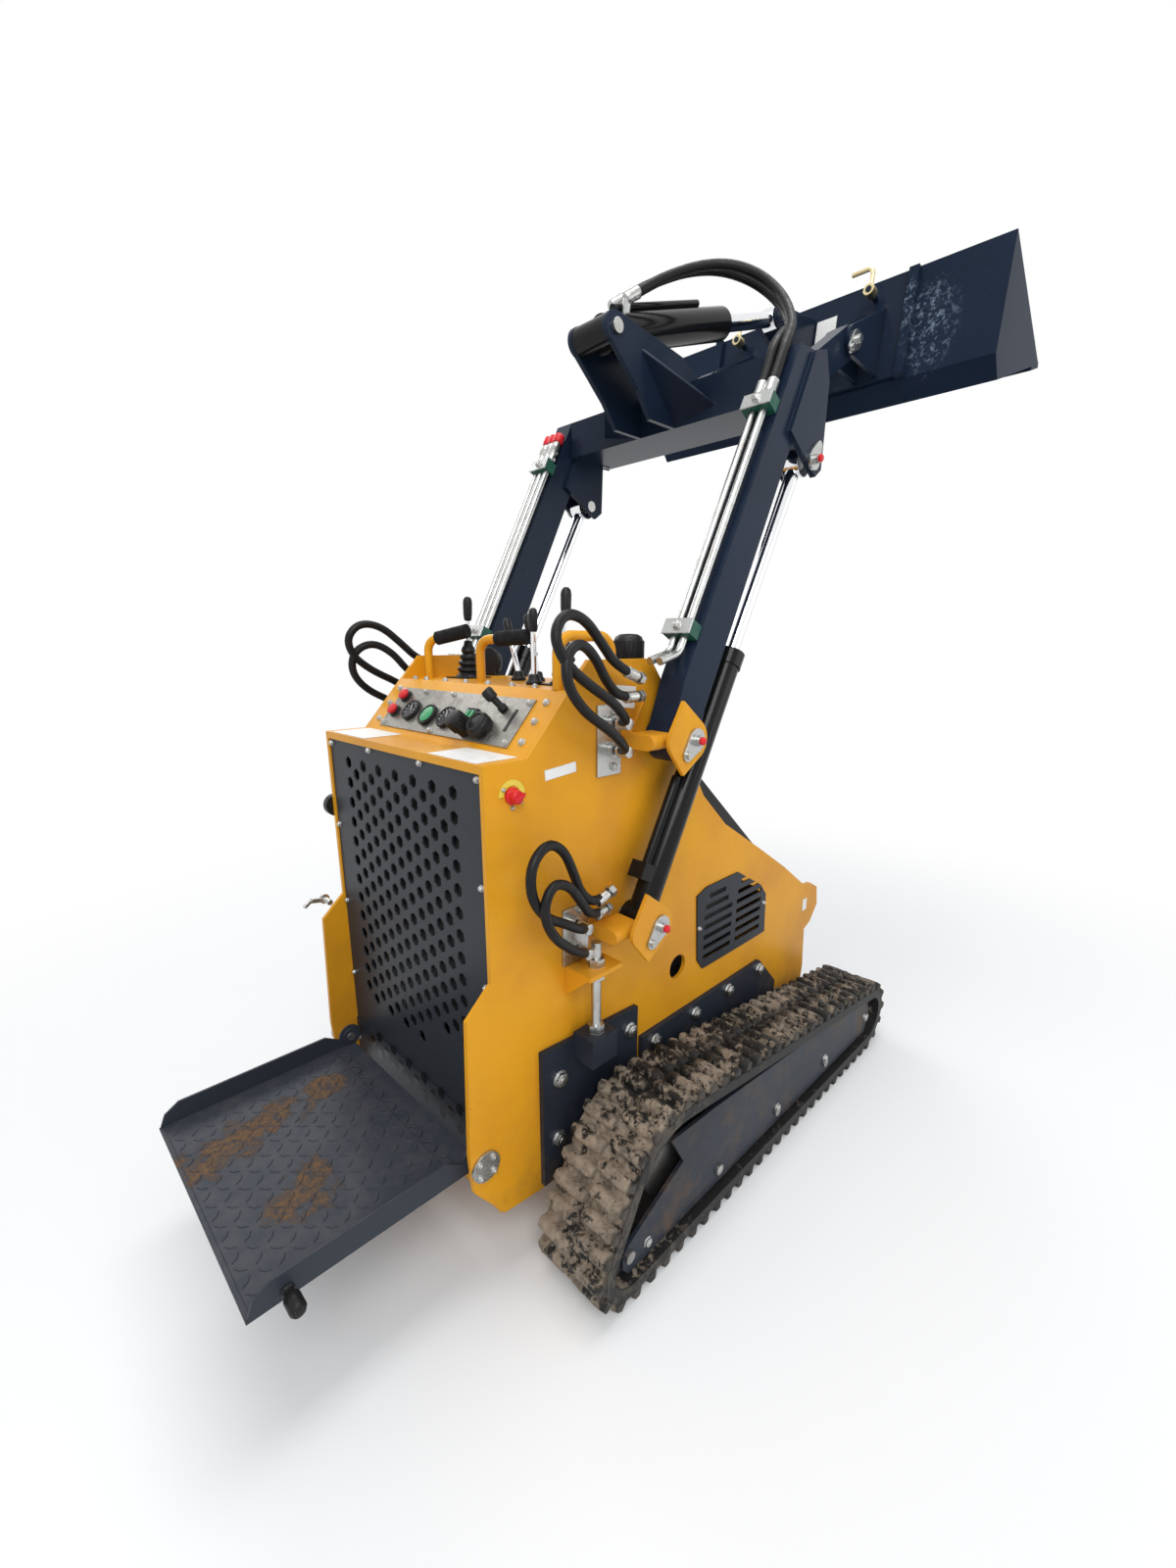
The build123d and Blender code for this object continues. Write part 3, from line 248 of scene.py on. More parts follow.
def paint(name, colour, darker, rough, dirt_top=0.0, dirt_amount=0.0, drops=True, scuffs_and_sheen=(), coat=0.03,
          shine=0.16):
    """Sprayed enamel: orange peel, fine lighter specks that are painted glints, dried drops and dust, with
    dirt below a height in metres.
    """
    look = Look(name, colour, rough, coat=coat, coat_rough=0.12, shine=shine)
    cloud = look.ramp(look.noise(3.5, 4), 0.35, 0.7)
    base = look.mix(cloud, colour, darker)
    # Fine lighter specks: painted glints of the orange peel
    glint_speck = look.ramp(look.noise(420, 2), 0.62, 0.75)
    base = look.mix(look.times(glint_speck, 0.35), base, tuple(min(1, c * 1.5 + 0.05) for c in colour))
    if drops:
        spots = look.ramp(look.cells(95), 0.10, 0.18, 1, 0)
        patches = look.ramp(look.noise(5.0, 3), 0.42, 0.62)
        drop = look.times(spots, patches)
        base = look.mix(look.times(drop, 0.45), base, tuple(c * 0.5 for c in colour))
        fine = look.ramp(look.cells(230), 0.10, 0.20, 1, 0)
        base = look.mix(look.times(fine, 0.28), base, tuple(c * 0.62 for c in colour))
        look.bump(drop, 0.25, 0.0008)
    dust = look.ramp(look.noise(14, 6, 0.7), 0.58, 0.85)
    base = look.mix(look.times(dust, 0.06), base, DUST)
    if dirt_amount:
        height = look.ramp(look.axis("Z"), 0.05, dirt_top, 1, 0)
        ragged = look.ramp(look.noise(9, 8, 0.72), 0.48, 0.66)
        splash = look.ramp(look.cells(60), 0.12, 0.3, 1, 0)
        mask = look.times(height, look.calc("MAXIMUM", ragged, look.times(splash, 0.5)))
        mask = look.times(mask, dirt_amount)
        base = look.mix(mask, base, DIRT)
        look.set("Roughness", look.ramp(mask, 0, 1, rough, 0.85))
        look.bump(mask, 0.3, 0.002)
    # Lighter patches: wear together with a painted reflection
    for centre, radii in scuffs_and_sheen:
        worn_and_sheen = look.times(look.blob(centre, radii), look.ramp(look.noise(55, 8, 0.8), 0.50, 0.62))
        base = look.mix(look.times(worn_and_sheen, 0.55), base, SCUFF_AND_SHEEN)
    look.set("Base Color", base)
    look.bump(look.noise(300, 2), 0.12, 0.0006)
    return look.material


def metal(name, colour, rough, grain=400, stain=0.25, stain_colour=(0.25, 0.2, 0.15)):
    """Bare or plated metal with a fine grain and cloudy stains."""
    look = Look(name, colour, rough, metal=1.0)
    streak = look.noise(grain, 2)
    cloud = look.ramp(look.noise(22, 5, 0.65), 0.45, 0.75)
    base = look.mix(look.times(cloud, stain), colour, stain_colour)
    base = look.mix(look.ramp(streak, 0.3, 0.7, 0, 0.25), base, tuple(c * 0.8 for c in colour))
    look.set("Base Color", base)
    look.set("Roughness", look.ramp(streak, 0.25, 0.75, rough * 0.75, min(1, rough * 1.35)))
    look.bump(streak, 0.06, 0.0004)
    return look.material


def plastic(name, colour, rough, grain=600, bump=0.12, shine=0.35, dust=0.12):
    look = Look(name, colour, rough, shine=shine)
    cloud = look.ramp(look.noise(35, 5, 0.65), 0.5, 0.8)
    look.set("Base Color", look.mix(look.times(cloud, dust), colour, (0.17, 0.14, 0.11)))
    look.set("Roughness", look.ramp(look.noise(60, 4), 0.3, 0.7, rough * 0.8, min(1, rough * 1.25)))
    look.bump(look.noise(grain, 3), bump, 0.0006)
    return look.material


def mud_over(look, base, mask, rough):
    """Dried mud in its two tones over a base colour, where the mask is 1."""
    fine = 90
    tone = look.ramp(look.noise(28, 7, 0.7), 0.35, 0.68)
    mud = look.mix(tone, (0.31, 0.25, 0.19), (0.10, 0.078, 0.058))
    crumbs = look.ramp(look.noise(fine, 8, 0.75), 0.42, 0.62)
    mud = look.mix(look.times(crumbs, 0.5), mud, (0.36, 0.30, 0.235))
    look.set("Base Color", look.mix(mask, base, mud))
    look.set("Roughness", look.ramp(mask, 0, 1, rough, 0.95))
    lump = look.times(mask, look.calc("ADD", look.noise(fine, 8, 0.7), look.noise(24, 4)))
    look.bump(lump, 0.7, 0.006)


# In metres of the frame: where the rear's mud and the rest begin, and the bare band along a track's middle
REAR_MUD = (-0.56, -0.30)
BAND_START, BAND_END = (0.400, 0.418), (0.440, 0.458)
WALL = (0.505, 0.513)


def track_rubber(name, cover, rear_cover):
    """Black rubber under dried mud, thicker at the rear. The middle, outer wall and bottom run are barer."""
    black = (0.010, 0.0095, 0.009)
    look = Look(name, black, 0.55, shine=0.3)
    patch = look.ramp(look.noise(6.5, 7, 0.68, distortion=0.4), 0.40, 0.60)
    rear = look.ramp(look.axis("X"), *REAR_MUD, 1.0, 0.0)
    level = look.calc("MAXIMUM", look.times(rear, rear_cover), cover)
    level = look.calc("MULTIPLY_ADD", patch, 0.35, look.calc("SUBTRACT", level, 0.17))
    grit = look.ramp(look.noise(44, 8, 0.75), 0.28, 0.72)
    mask = look.ramp(look.calc("SUBTRACT", level, grit), -0.08, 0.10)
    across = look.times(look.axis("Y"), look.axis("Y"))  # squared, so that both tracks have it
    middle = look.times(look.ramp(across, *(y ** 2 for y in BAND_START)),
                        look.ramp(across, *(y ** 2 for y in BAND_END), 1, 0))
    middle = look.times(middle, look.ramp(look.axis("X"), -0.52, -0.42))
    wall = look.ramp(across, *(y ** 2 for y in WALL))
    run = look.times(look.ramp(look.axis("Z"), 0.035, 0.075, 1, 0), look.ramp(look.axis("X"), -0.50, -0.40))
    bare = look.calc("MAXIMUM", look.times(middle, 0.75),
                    look.calc("MAXIMUM", look.times(wall, 0.8), look.times(run, 0.9)))
    mask = look.times(mask, look.calc("SUBTRACT", 1.0, bare))
    mud_over(look, black, mask, 0.55)
    return look.material


# Dirt on the footplate: X and Y in millimetres, and its reach in metres
PLATE_DIRT = ((-330, 110, 0.09, 0.11), (-240, 125, 0.11, 0.09), (-140, 155, 0.08, 0.07),
              (-285, -105, 0.13, 0.13))


def footplate_paint():
    """Slate paint with dust, and brown dirt in ragged patches on what faces up."""
    slate = (0.034, 0.040, 0.052)
    look = Look("footplate_paint", slate, 0.4, coat=0.02, coat_rough=0.25, shine=0.15)
    ragged = look.noise(9.0, 8, 0.72, distortion=0.5)
    spread = look.blob(at(-400, 110, 274), (0.07, 0.13, 0.2))
    for x, y, reach_x, reach_y in PLATE_DIRT:
        spread = look.calc("MAXIMUM", spread, look.blob(at(x, y, 274), (reach_x, reach_y, 0.2)))
    level = look.calc("MULTIPLY_ADD", spread, 0.30, look.calc("SUBTRACT", ragged, 0.22))
    patch = look.ramp(level, 0.50, 0.60)
    top = look.ramp(look.facing("Z"), 0.5, 0.9)
    grit = look.ramp(look.noise(85, 8, 0.75), 0.34, 0.58)
    mask = look.times(look.times(patch, grit), top)
    dust = look.ramp(look.noise(24, 7, 0.7), 0.35, 0.75)
    base = look.mix(look.times(dust, look.times(top, 0.22)), slate, (0.15, 0.13, 0.12))
    look.set("Base Color", look.mix(mask, base, (0.165, 0.095, 0.050)))
    look.set("Roughness", look.ramp(mask, 0, 1, 0.42, 0.95))
    look.bump(look.times(mask, look.noise(110, 7, 0.7)), 0.6, 0.004)
    look.bump(look.noise(260, 2), 0.1, 0.0006)
    return look.material


YELLOW = (0.72, 0.325, 0.012)
SLATE = (0.011, 0.020, 0.040)
yellow = paint("yellow_paint", YELLOW, (0.60, 0.255, 0.018), 0.34, dirt_top=0.45, dirt_amount=0.3)
yellow_clean = paint("yellow_paint_clean", YELLOW, (0.62, 0.265, 0.018), 0.30)
slate = paint("slate_paint", SLATE, (0.008, 0.014, 0.028), 0.28, shine=0.10)
# Places of wear and painted reflection on the bucket's back: centre, and reach in metres
BUCKET_SCUFFS_AND_SHEEN = ((at(1488, -375, 2080), (0.10, 0.085, 0.15)), (at(1484, -300, 2150), (0.10, 0.05, 0.08)))
bucket_slate = paint("bucket_slate", SLATE, (0.009, 0.016, 0.032), 0.42, coat=0.0, shine=0.05,
                     scuffs_and_sheen=BUCKET_SCUFFS_AND_SHEEN)
slate_low = paint("slate_paint_low", (0.020, 0.026, 0.038), (0.014, 0.018, 0.027), 0.42, 0.45, 0.5)
panel_slate = paint("panel_slate", (0.026, 0.030, 0.037), (0.019, 0.022, 0.029), 0.40)
black_paint = paint("black_paint", (0.008, 0.008, 0.009), (0.006, 0.006, 0.006), 0.14, drops=False)
black_satin = paint("black_satin", (0.014, 0.014, 0.015), (0.010, 0.010, 0.010), 0.38, drops=False)
chrome = metal("chrome", (0.86, 0.87, 0.89), 0.07, stain=0.06)
zinc = metal("zinc", (0.50, 0.51, 0.50), 0.30, stain=0.45)
steel = metal("steel", (0.34, 0.33, 0.32), 0.42, stain=0.6, stain_colour=(0.14, 0.10, 0.07))
zinc_yellow = metal("zinc_yellow", (0.70, 0.58, 0.33), 0.33, stain=0.3)
grey_panel = metal("grey_panel", (0.33, 0.32, 0.29), 0.42, grain=150, stain=0.7,
                   stain_colour=(0.12, 0.11, 0.10))
iron = metal("iron", (0.12, 0.12, 0.12), 0.6)
dark_plastic = plastic("dark_plastic", (0.009, 0.009, 0.010), 0.42, shine=0.25, dust=0.06)
hose_rubber = plastic("hose_rubber", (0.006, 0.006, 0.007), 0.42, grain=500, bump=0.2, shine=0.22, dust=0.04)
foam = plastic("foam", (0.012, 0.012, 0.013), 0.85, grain=900, bump=0.5, shine=0.15, dust=0.08)
red_plastic = plastic("red_plastic", (0.62, 0.012, 0.018), 0.35)
green_plastic = plastic("green_plastic", (0.008, 0.075, 0.050), 0.5)
white_label = plastic("white_label", (0.78, 0.78, 0.76), 0.35, bump=0.03)
yellow_label = plastic("yellow_label", (0.75, 0.60, 0.07), 0.35, bump=0.03)
green_lens = plastic("green_lens", (0.02, 0.28, 0.10), 0.2, bump=0.02)
rubber = track_rubber("track_rubber", 0.12, 0.66)
lug_rubber = track_rubber("lug_rubber", 0.50, 0.72)
footplate = footplate_paint()

MATERIALS = {
    yellow: ("side_plate_right", "side_plate_left", "body_tub"),
    yellow_clean: ("console_deck", "pivot_brackets", "grab_handles"),
    slate: ("lift_arm_right", "lift_arm_left", "cross_beam", "quick_attach"),
    bucket_slate: ("bucket",),
    slate_low: ("track_mounts", "track_frames"),
    panel_slate: ("rear_panel", "side_grilles"),
    black_paint: ("lift_barrel_right", "lift_barrel_left", "tilt_barrel"),
    black_satin: ("hood_panel",),
    chrome: ("lift_rod_right", "lift_rod_left", "tilt_rod"),
    zinc: ("hose_bulkheads", "arm_pipes", "quick_couplers", "pivot_pins", "frame_pins", "hitch_pins",
           "track_adjusters"),
    zinc_yellow: ("latch_handle_right", "latch_handle_left"),
    steel: ("track_wheels",),
    grey_panel: ("control_panel",),
    iron: ("engine_block",),
    dark_plastic: ("instruments", "control_levers", "filler_cap", "platform_latch"),
    hose_rubber: ("side_hoses", "top_hoses"),
    foam: ("handle_grips",),
    green_plastic: ("pipe_clamps",),
    rubber: ("track_belt_right", "track_belt_left"),
    footplate: ("platform",),
}
for material, names in MATERIALS.items():
    for name in names:
        mesh = NODES[name].data
        mesh.materials.clear()
        mesh.materials.append(material)

# The adjusters' screws stay zinc. Their shelves are painted as the body, and foot blocks as the mounts
BLOCK_TOP, SHELF_TOP, NUT_REACH = 0.4805, 0.6255, 0.0185
adjusters = NODES["track_adjusters"]
adjusters.data.materials.append(yellow)
adjusters.data.materials.append(slate_low)
SCREW_PLACE = at(221, 341, 0)
for face in adjusters.data.polygons:
    middle = adjusters.matrix_world @ face.center
    aside = hypot(middle.x - SCREW_PLACE.x, abs(middle.y) - SCREW_PLACE.y)
    if middle.z < BLOCK_TOP:
        face.material_index = 2
    elif aside > NUT_REACH and middle.z < SHELF_TOP:
        face.material_index = 1


# ---------- mesh tools
class Kit:
    """Gathers turned and boxed forms and rings into one piece. Places are in the machine's millimetres."""

    def __init__(self, name, material, body="chassis"):
        self.name, self.material, self.body = name, material, body
        self.bm = bmesh.new()

    def turned(self, base, direction, profile, sides=20, spin=0.0):
        """A body of revolution, or a prism of few sides. Profile: (distance, radius) from the base."""
        base, ahead = Vector(base), Vector(direction).normalized()
        across = ahead.orthogonal().normalized()
        up = ahead.cross(across)
        rings = []
        for distance, radius in profile:
            ring = []
            for turn in turns(sides):
                turn += spin
                spot = base + ahead * distance + (across * cos(turn) + up * sin(turn)) * radius
                ring.append(self.bm.verts.new(at(*spot)))
            rings.append(ring)
        for low, high in zip(rings, rings[1:]):
            for i in range(sides):
                j = (i + 1) % sides
                self.bm.faces.new((low[i], low[j], high[j], high[i]))
        self.bm.faces.new(rings[0][::-1])
        self.bm.faces.new(rings[-1])

    def rod(self, start, end, radius):
        length = (Vector(end) - Vector(start)).length
        edge = min(1.0, radius / 4)
        profile = [(0, radius - edge), (edge, radius), (length - edge, radius), (length, radius - edge)]
        self.turned(start, Vector(end) - Vector(start), profile, 16)

    def bolt(self, place, direction, flat, height):
        """A hexagon head on a washer, with a bevelled top and its thread's end."""
        ahead = Vector(direction).normalized()
        self.turned(place, ahead, [(0, flat * 1.35), (1.6, flat * 1.35), (2.0, flat * 1.28)], 20)
        place = Vector(place) + ahead * 2
        corner = flat / cos(pi / 6)
        self.turned(place, ahead, [(0, corner), (height - 1, corner), (height, corner * 0.86)], 6)
        thread = [(-0.5, flat * 0.5), (1.2, flat * 0.5), (1.6, flat * 0.4)]
        self.turned(place + ahead * height, ahead, thread, 12)

    def side_bolts(self, places, y, flat, height):
        """Bolts at X, Z places of the right side, each with its mirror image."""
        for x, z in places:
            for sign in SIDES:
                self.bolt((x, sign * y, z), OUTWARD * sign, flat, height)

    def box(self, centre, size, along=(1, 0, 0), up=(0, 0, 1)):
        """A plain box: size along a direction, across it, and up."""
        along = Vector(along).normalized()
        up = Vector(up).normalized()
        across = up.cross(along)
        corners = {}
        for i in (-1, 1):
            for j in (-1, 1):
                for k in (-1, 1):
                    spot = Vector(centre) + along * size[0] / 2 * i + across * size[1] / 2 * j
                    corners[i, j, k] = self.bm.verts.new(at(*(spot + up * size[2] / 2 * k)))
        for a, b, c, d in (
            ((-1, -1, -1), (-1, 1, -1), (1, 1, -1), (1, -1, -1)),
            ((-1, -1, 1), (1, -1, 1), (1, 1, 1), (-1, 1, 1)),
            ((-1, -1, -1), (1, -1, -1), (1, -1, 1), (-1, -1, 1)),
            ((-1, 1, -1), (-1, 1, 1), (1, 1, 1), (1, 1, -1)),
            ((-1, -1, -1), (-1, -1, 1), (-1, 1, 1), (-1, 1, -1)),
            ((1, -1, -1), (1, 1, -1), (1, 1, 1), (1, -1, 1)),
        ):
            self.bm.faces.new([corners[key] for key in (a, b, c, d)])

    def ring(self, centre, direction, radius, thickness, sides=28):
        """A torus."""
        ahead = Vector(direction).normalized()
        across = ahead.orthogonal().normalized()
        up = ahead.cross(across)
        loops = []
        for turn in turns(sides):
            out = across * cos(turn) + up * sin(turn)
            loop = []
            for roll in turns(8):
                spot = Vector(centre) + out * (radius + thickness * cos(roll)) + ahead * thickness * sin(roll)
                loop.append(self.bm.verts.new(at(*spot)))
            loops.append(loop)
        for first, second in zip(loops, loops[1:] + loops[:1]):
            walls(self.bm, first, second)

    def made(self):
        """The finished piece, riding on its body."""
        piece = piece_from(self.name, self.bm, [self.material], 38)
        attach(piece, self.body)
        return piece


# ---------- instruments on the console's slope
DECK_Z = 1155
SLOPE_FOOT, SLOPE_HEAD = Vector((94, 0, 1045)), Vector((193, 0, DECK_Z))
UPHILL = (SLOPE_HEAD - SLOPE_FOOT).normalized()
OUT = Vector((-UPHILL.z, 0, UPHILL.x))
PANEL_T = 3

# Places on the slope: Y, and the distance uphill
BUTTONS, GAUGES, LAMP = ((205, 95), (210, 53)), ((143, 60), (-3, 55)), (69, 54)
KNURLED, CAPPED = (-92, 34), (-134, 44)
PANEL_SCREWS = ((230, 112), (140, 114), (30, 114), (-90, 114), (-222, 112), (-222, 22), (230, 22), (30, 20))


def on_slope(y, s, lift=PANEL_T):
    return SLOPE_FOOT + UPHILL * s + OUT * lift + Y * y


buttons = Kit("buttons", red_plastic)
bezels = Kit("instrument_bezels", dark_plastic)
faces = Kit("gauge_faces", black_paint)
for y, s in BUTTONS:
    bezels.turned(on_slope(y, s), OUT, [(0, 15), (4, 15), (5, 13)])
    mushroom = [(0, 9), (4, 9), (5, 13), (9, 13.5), (11.5, 11), (12.5, 6)]
    buttons.turned(on_slope(y, s, PANEL_T + 4.5), OUT, mushroom)
for y, s in (*GAUGES, LAMP):
    bezels.turned(on_slope(y, s), OUT, [(0, 25), (3, 26), (6, 25)], 32)
    bezels.ring(on_slope(y, s, PANEL_T + 6), OUT, 23, 3.2, 32)
    faces.turned(on_slope(y, s, PANEL_T + 6), OUT, [(0, 21), (0.8, 21)], 32)
needles = Kit("gauge_marks", white_label)
for y, s in GAUGES:
    for i in range(9):
        turn = radians(-30 + i * 30)
        ray = Y * cos(turn) + UPHILL * sin(turn)
        needles.box(on_slope(y, s, PANEL_T + 7.2) + ray * 17, (5, 1.4, 0.5), ray, OUT)
    needles.box(on_slope(y, s, PANEL_T + 7.4) + UPHILL * 5, (15, 1.6, 0.5), UPHILL + Y * 0.5, OUT)
lamp = Kit("pilot_lamp", green_lens)
lamp.turned(on_slope(*LAMP, PANEL_T + 6.5), OUT, [(0, 19), (1.5, 19), (2.2, 16)], 28)
for offset in (-10, 4):
    lamp.box(on_slope(-80 + offset, 66, PANEL_T + 11), (16, 9, 3), UPHILL, OUT)
bezels.box(on_slope(-83, 66, PANEL_T + 5), (30, 34, 10), UPHILL, OUT)
bezels.turned(on_slope(*KNURLED), OUT, [(0, 17), (14, 17), (16, 19), (40, 19), (44, 17), (46, 12)], 24)
for turn in turns(12):
    ray = Y * cos(turn) + UPHILL * sin(turn)
    bezels.box(on_slope(*KNURLED, PANEL_T + 29) + ray * 19, (3, 3, 22), ray, OUT)
bezels.turned(on_slope(*CAPPED), OUT, [(0, 24), (6, 26), (16, 26), (20, 24), (22, 20)], 28)
bezels.ring(on_slope(*CAPPED, PANEL_T + 21), OUT, 20, 3.5, 28)
bezels.box(on_slope(-199, 70, PANEL_T + 0.3), (50, 8, 0.8), UPHILL, OUT)
knob_foot = on_slope(-163, 91)  # the throttle
knob_lean = (OUT + Y * 0.55 + UPHILL * 0.25).normalized()
throttle = [(0, 9), (10, 9), (12, 7), (28, 7), (30, 11), (46, 12), (51, 10), (52, 6)]
bezels.turned(knob_foot, knob_lean, throttle, 20)
screws = Kit("panel_screws", zinc)
for y, s in PANEL_SCREWS:
    screws.bolt(on_slope(y, s), OUT, 4.5, 3.5)
for y in (-262, 262):
    for s in (30, 75, 118):
        screws.bolt(on_slope(y, s, 0), OUT, 5.5, 4)
for y in (-250, -190, -120, -40, 40, 120, 200, 250):
    screws.bolt((206, y, DECK_Z), Z, 5, 4)
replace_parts(bezels.made(), "instruments")
for kit in (buttons, faces, needles, lamp, screws):
    kit.made()

# ---------- deck: joysticks, levers and filler cap
BELLOWS = [(0, 30), (4, 31), (8, 27), (14, 22), (19, 27), (24, 26), (29, 19), (34, 24), (39, 23), (44, 17),
           (49, 21), (54, 20), (59, 14), (64, 17), (70, 16), (78, 11), (88, 9), (89, 5)]
deck = Kit("deck_controls", dark_plastic)
stems = Kit("deck_stems", chrome)
# X, Y and lean, and for a lever its height before the lean
JOYSTICKS = ((320, 196, (0, -0.05, 1)), (300, -172, (0.05, 0.02, 1)))
LEVERS = ((335, 20, 104, (-0.02, 0.30, 1)), (340, -40, 110, (0, 0.25, 1)), (262, -122, 112, (0, 0, 1)))
for x, y, lean in JOYSTICKS:
    foot = Vector((x, y, DECK_Z))
    deck.turned(foot, lean, BELLOWS, 24)
    stems.turned(foot, lean, [(84, 4.5), (140, 4.5)], 14)
    deck.turned(foot, lean, [(134, 6), (137, 9), (150, 10.5), (176, 11), (184, 9.5), (189, 5)], 20)
    deck.box(foot + Z * 1.5, (78, 78, 3))
for x, y, height, lean in LEVERS:
    foot = Vector((x, y, DECK_Z))
    deck.turned(foot, Z, [(0, 17), (6, 17), (10, 13), (20, 11), (22, 7)], 20)
    stems.turned(foot + Z * 14, lean, [(0, 6), (height - 14, 6)], 16)
    knob = [(height - 22, 7), (height - 18, 9), (height + 12, 9.5), (height + 20, 8), (height + 24, 4)]
    deck.turned(foot + Z * 14, lean, knob, 18)
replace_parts(deck.made(), "control_levers")
stems.made()

CAP = Vector((418, -238, DECK_Z))
cap = Kit("ribbed_cap", dark_plastic)
cap.turned(CAP, Z, [(0, 25), (44, 24)], 24)
cap.turned(CAP, Z, [(44, 30), (47, 31.5), (86, 31), (95, 27), (100, 18), (101, 4)], 36)
for turn in turns(24):
    ray = X * cos(turn) + Y * sin(turn)
    cap.box(CAP + ray * 30.5 + Z * 67, (4, 3.4, 40), ray, Z)
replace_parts(cap.made(), "filler_cap")
red_item = Kit("red_latch", red_plastic)
red_item.box((452, -206, 1196), (22, 16, 34))
red_item.made()
disc = Kit("dark_disc", black_satin)
disc.turned((436, 262, 1188), (-1, -0.3, 0.1), [(0, 38), (10, 40), (14, 36)], 32)
disc.box((436, 262, 1162), (24, 60, 14))
disc.made()

# ---------- fasteners and small plates on the body
side = Kit("side_fasteners", zinc)
MOUNT_BOLTS = ((148, 392), (359, 402), (144, 254), (360, 254), (609, 330), (758, 334), (914, 335), (450, 330))
FRAME_BOLTS = ((1244, 117), (974, 111), (711, 104), (452, 95), (205, 92))
GRILLE_SCREWS = ((620, 556), (928, 531))
BULKHEAD_BOLTS = ((304, 1005), (304, 1112), (212, 640), (212, 733))
side.side_bolts(MOUNT_BOLTS, MOUNT_Y, 13, 9)
side.side_bolts(FRAME_BOLTS, FRAME_Y, 8, 5)
side.side_bolts(GRILLE_SCREWS, BODY_Y - 4, 4.5, 3.5)
side.side_bolts(BULKHEAD_BOLTS, BODY_Y - 5, 6.5, 5)
HINGE_BOLT_R = 21
for i in range(4):
    turn = pi / 4 + i * pi / 2
    place = HINGE[0] + HINGE_BOLT_R * cos(turn), HINGE[1] + HINGE_BOLT_R * sin(turn)
    side.side_bolts([place], BODY_Y - 6, 4.5, 4)
for x, z in ((40, 1000), (76, 974), (58, 966)):
    side.bolt((x, BODY_Y, z), OUTWARD, 3, 2.5)
side.made()

knob = Kit("battery_switch", red_plastic)
knob.turned((SWITCH[0], BODY_Y, SWITCH[1]), OUTWARD, [(0, 15), (5, 15), (7, 12), (18, 12), (20, 10)], 24)
knob.box((SWITCH[0], BODY_Y - 21, SWITCH[1]), (24, 6, 6), (1, 0, 0.4))
for x, z in (ARM_PIVOT, CYLINDER_PIVOT):
    for sign in SIDES:
        knob.turned((x, sign * -416, z), OUTWARD * sign, [(0, 8), (5, 8), (7, 6), (9, 3)], 16)
knob.made()
lift_caps = Kit("knee_grease_caps", red_plastic, "lift_frame")
for sign in SIDES:
    knee = KNEE_PIVOT[0], sign * -401, KNEE_PIVOT[1]
    lift_caps.turned(knee, OUTWARD * sign, [(0, 8), (5, 8), (8, 4)], 16)
lift_caps.made()

LABEL_T = 0.8
labels = Kit("blank_labels", white_label)
labels.box((336, BODY_Y - LABEL_T / 2, 1137), (68, LABEL_T, 42), (1, 0, -0.1), (0.1, 0, 1))
labels.box((170, BODY_Y - LABEL_T / 2, 1014), (76, LABEL_T, 19), (1, 0, 0.09), (-0.09, 0, 1))
labels.box((1194, BODY_Y - LABEL_T / 2, 444), (26, LABEL_T, 38))
for y in (-200, 200):
    labels.box((49, y, 1045.5), (88, 150, LABEL_T))
labels.made()

# ---------- hoses
HOSE_R, TOP_HOSE_R = 9, 11
# Right side, from the bulkhead: two to the arm's pipes and two to the lift barrel
SIDE_ROUTES = [
    [(292, -321.5, 1092), (292, -345, 1092), (270, -364, 1108), (226, -372, 1140), (160, -378, 1172),
     (112, -374, 1208), (98, -366, 1250), (128, -358, 1284), (178, -352, 1278), (224, -346, 1240),
     (270, -342, 1196), (330, -340, 1176)],
    [(292, -321.5, 1040), (292, -345, 1040), (262, -370, 1058), (212, -380, 1092), (146, -388, 1126),
     (110, -384, 1170), (116, -374, 1218), (158, -362, 1240), (204, -352, 1216), (240, -346, 1170),
     (280, -342, 1140), (330, -340, 1140)],
    [(189, -321.5, 716), (189, -345, 716), (160, -362, 728), (116, -366, 756), (66, -370, 784),
     (38, -368, 830), (44, -364, 884), (84, -360, 912), (122, -358, 890), (146, -356, 844),
     (166, -354, 796), (205, -352, 762), (244, -350, 772)],
    [(189, -321.5, 664), (189, -345, 664), (162, -366, 680), (118, -376, 710), (72, -382, 752),
     (52, -382, 806), (76, -380, 846), (116, -378, 832), (150, -372, 790), (190, -360, 742),
     (240, -346, 738)],
]
# From the tilt barrel over the cross beam to the right arm's pipes
TOP_ROUTES = [
    [(640, -22, 1986), (688, -40, 2020), (742, -66, 2052), (800, -104, 2076), (850, -150, 2080),
     (884, -204, 2054), (890, -254, 2006), (868, -296, 1950), (832, -326, 1898), (780, -344, 1852),
     (746, -352, 1798.8), (709.7, -352, 1730.4)],
    [(640, 22, 1986), (696, 10, 2026), (756, -14, 2062), (820, -52, 2090), (880, -102, 2096),
     (924, -160, 2070), (938, -218, 2020), (918, -268, 1958), (868, -300, 1914), (806, -316, 1878),
     (760, -326, 1838), (742, -328, 1791.3), (709.7, -328, 1730.4)],
]


def hose_tube(name, points, radius):
    """A tube along the smooth line that has the route's points as its controls."""
    line = bpy.data.curves.new(name, "CURVE")
    line.dimensions = "3D"
    run = line.splines.new("NURBS")
    run.points.add(len(points) - 1)
    for point, place in zip(run.points, points):
        point.co = (*at(*place), 1)
    run.order_u = 3
    run.use_endpoint_u = True
    run.resolution_u = 10
    line.bevel_depth = radius / 1000
    line.bevel_resolution = 4
    line.use_fill_caps = True
    carrier = placed(name + "_line", line)
    bpy.context.view_layer.update()
    mesh = bpy.data.meshes.new_from_object(carrier)
    bpy.data.objects.remove(carrier)
    mesh.name = name
    mesh.shade_smooth()
    mesh.materials.clear()
    mesh.materials.append(hose_rubber)
    return placed(name, mesh)


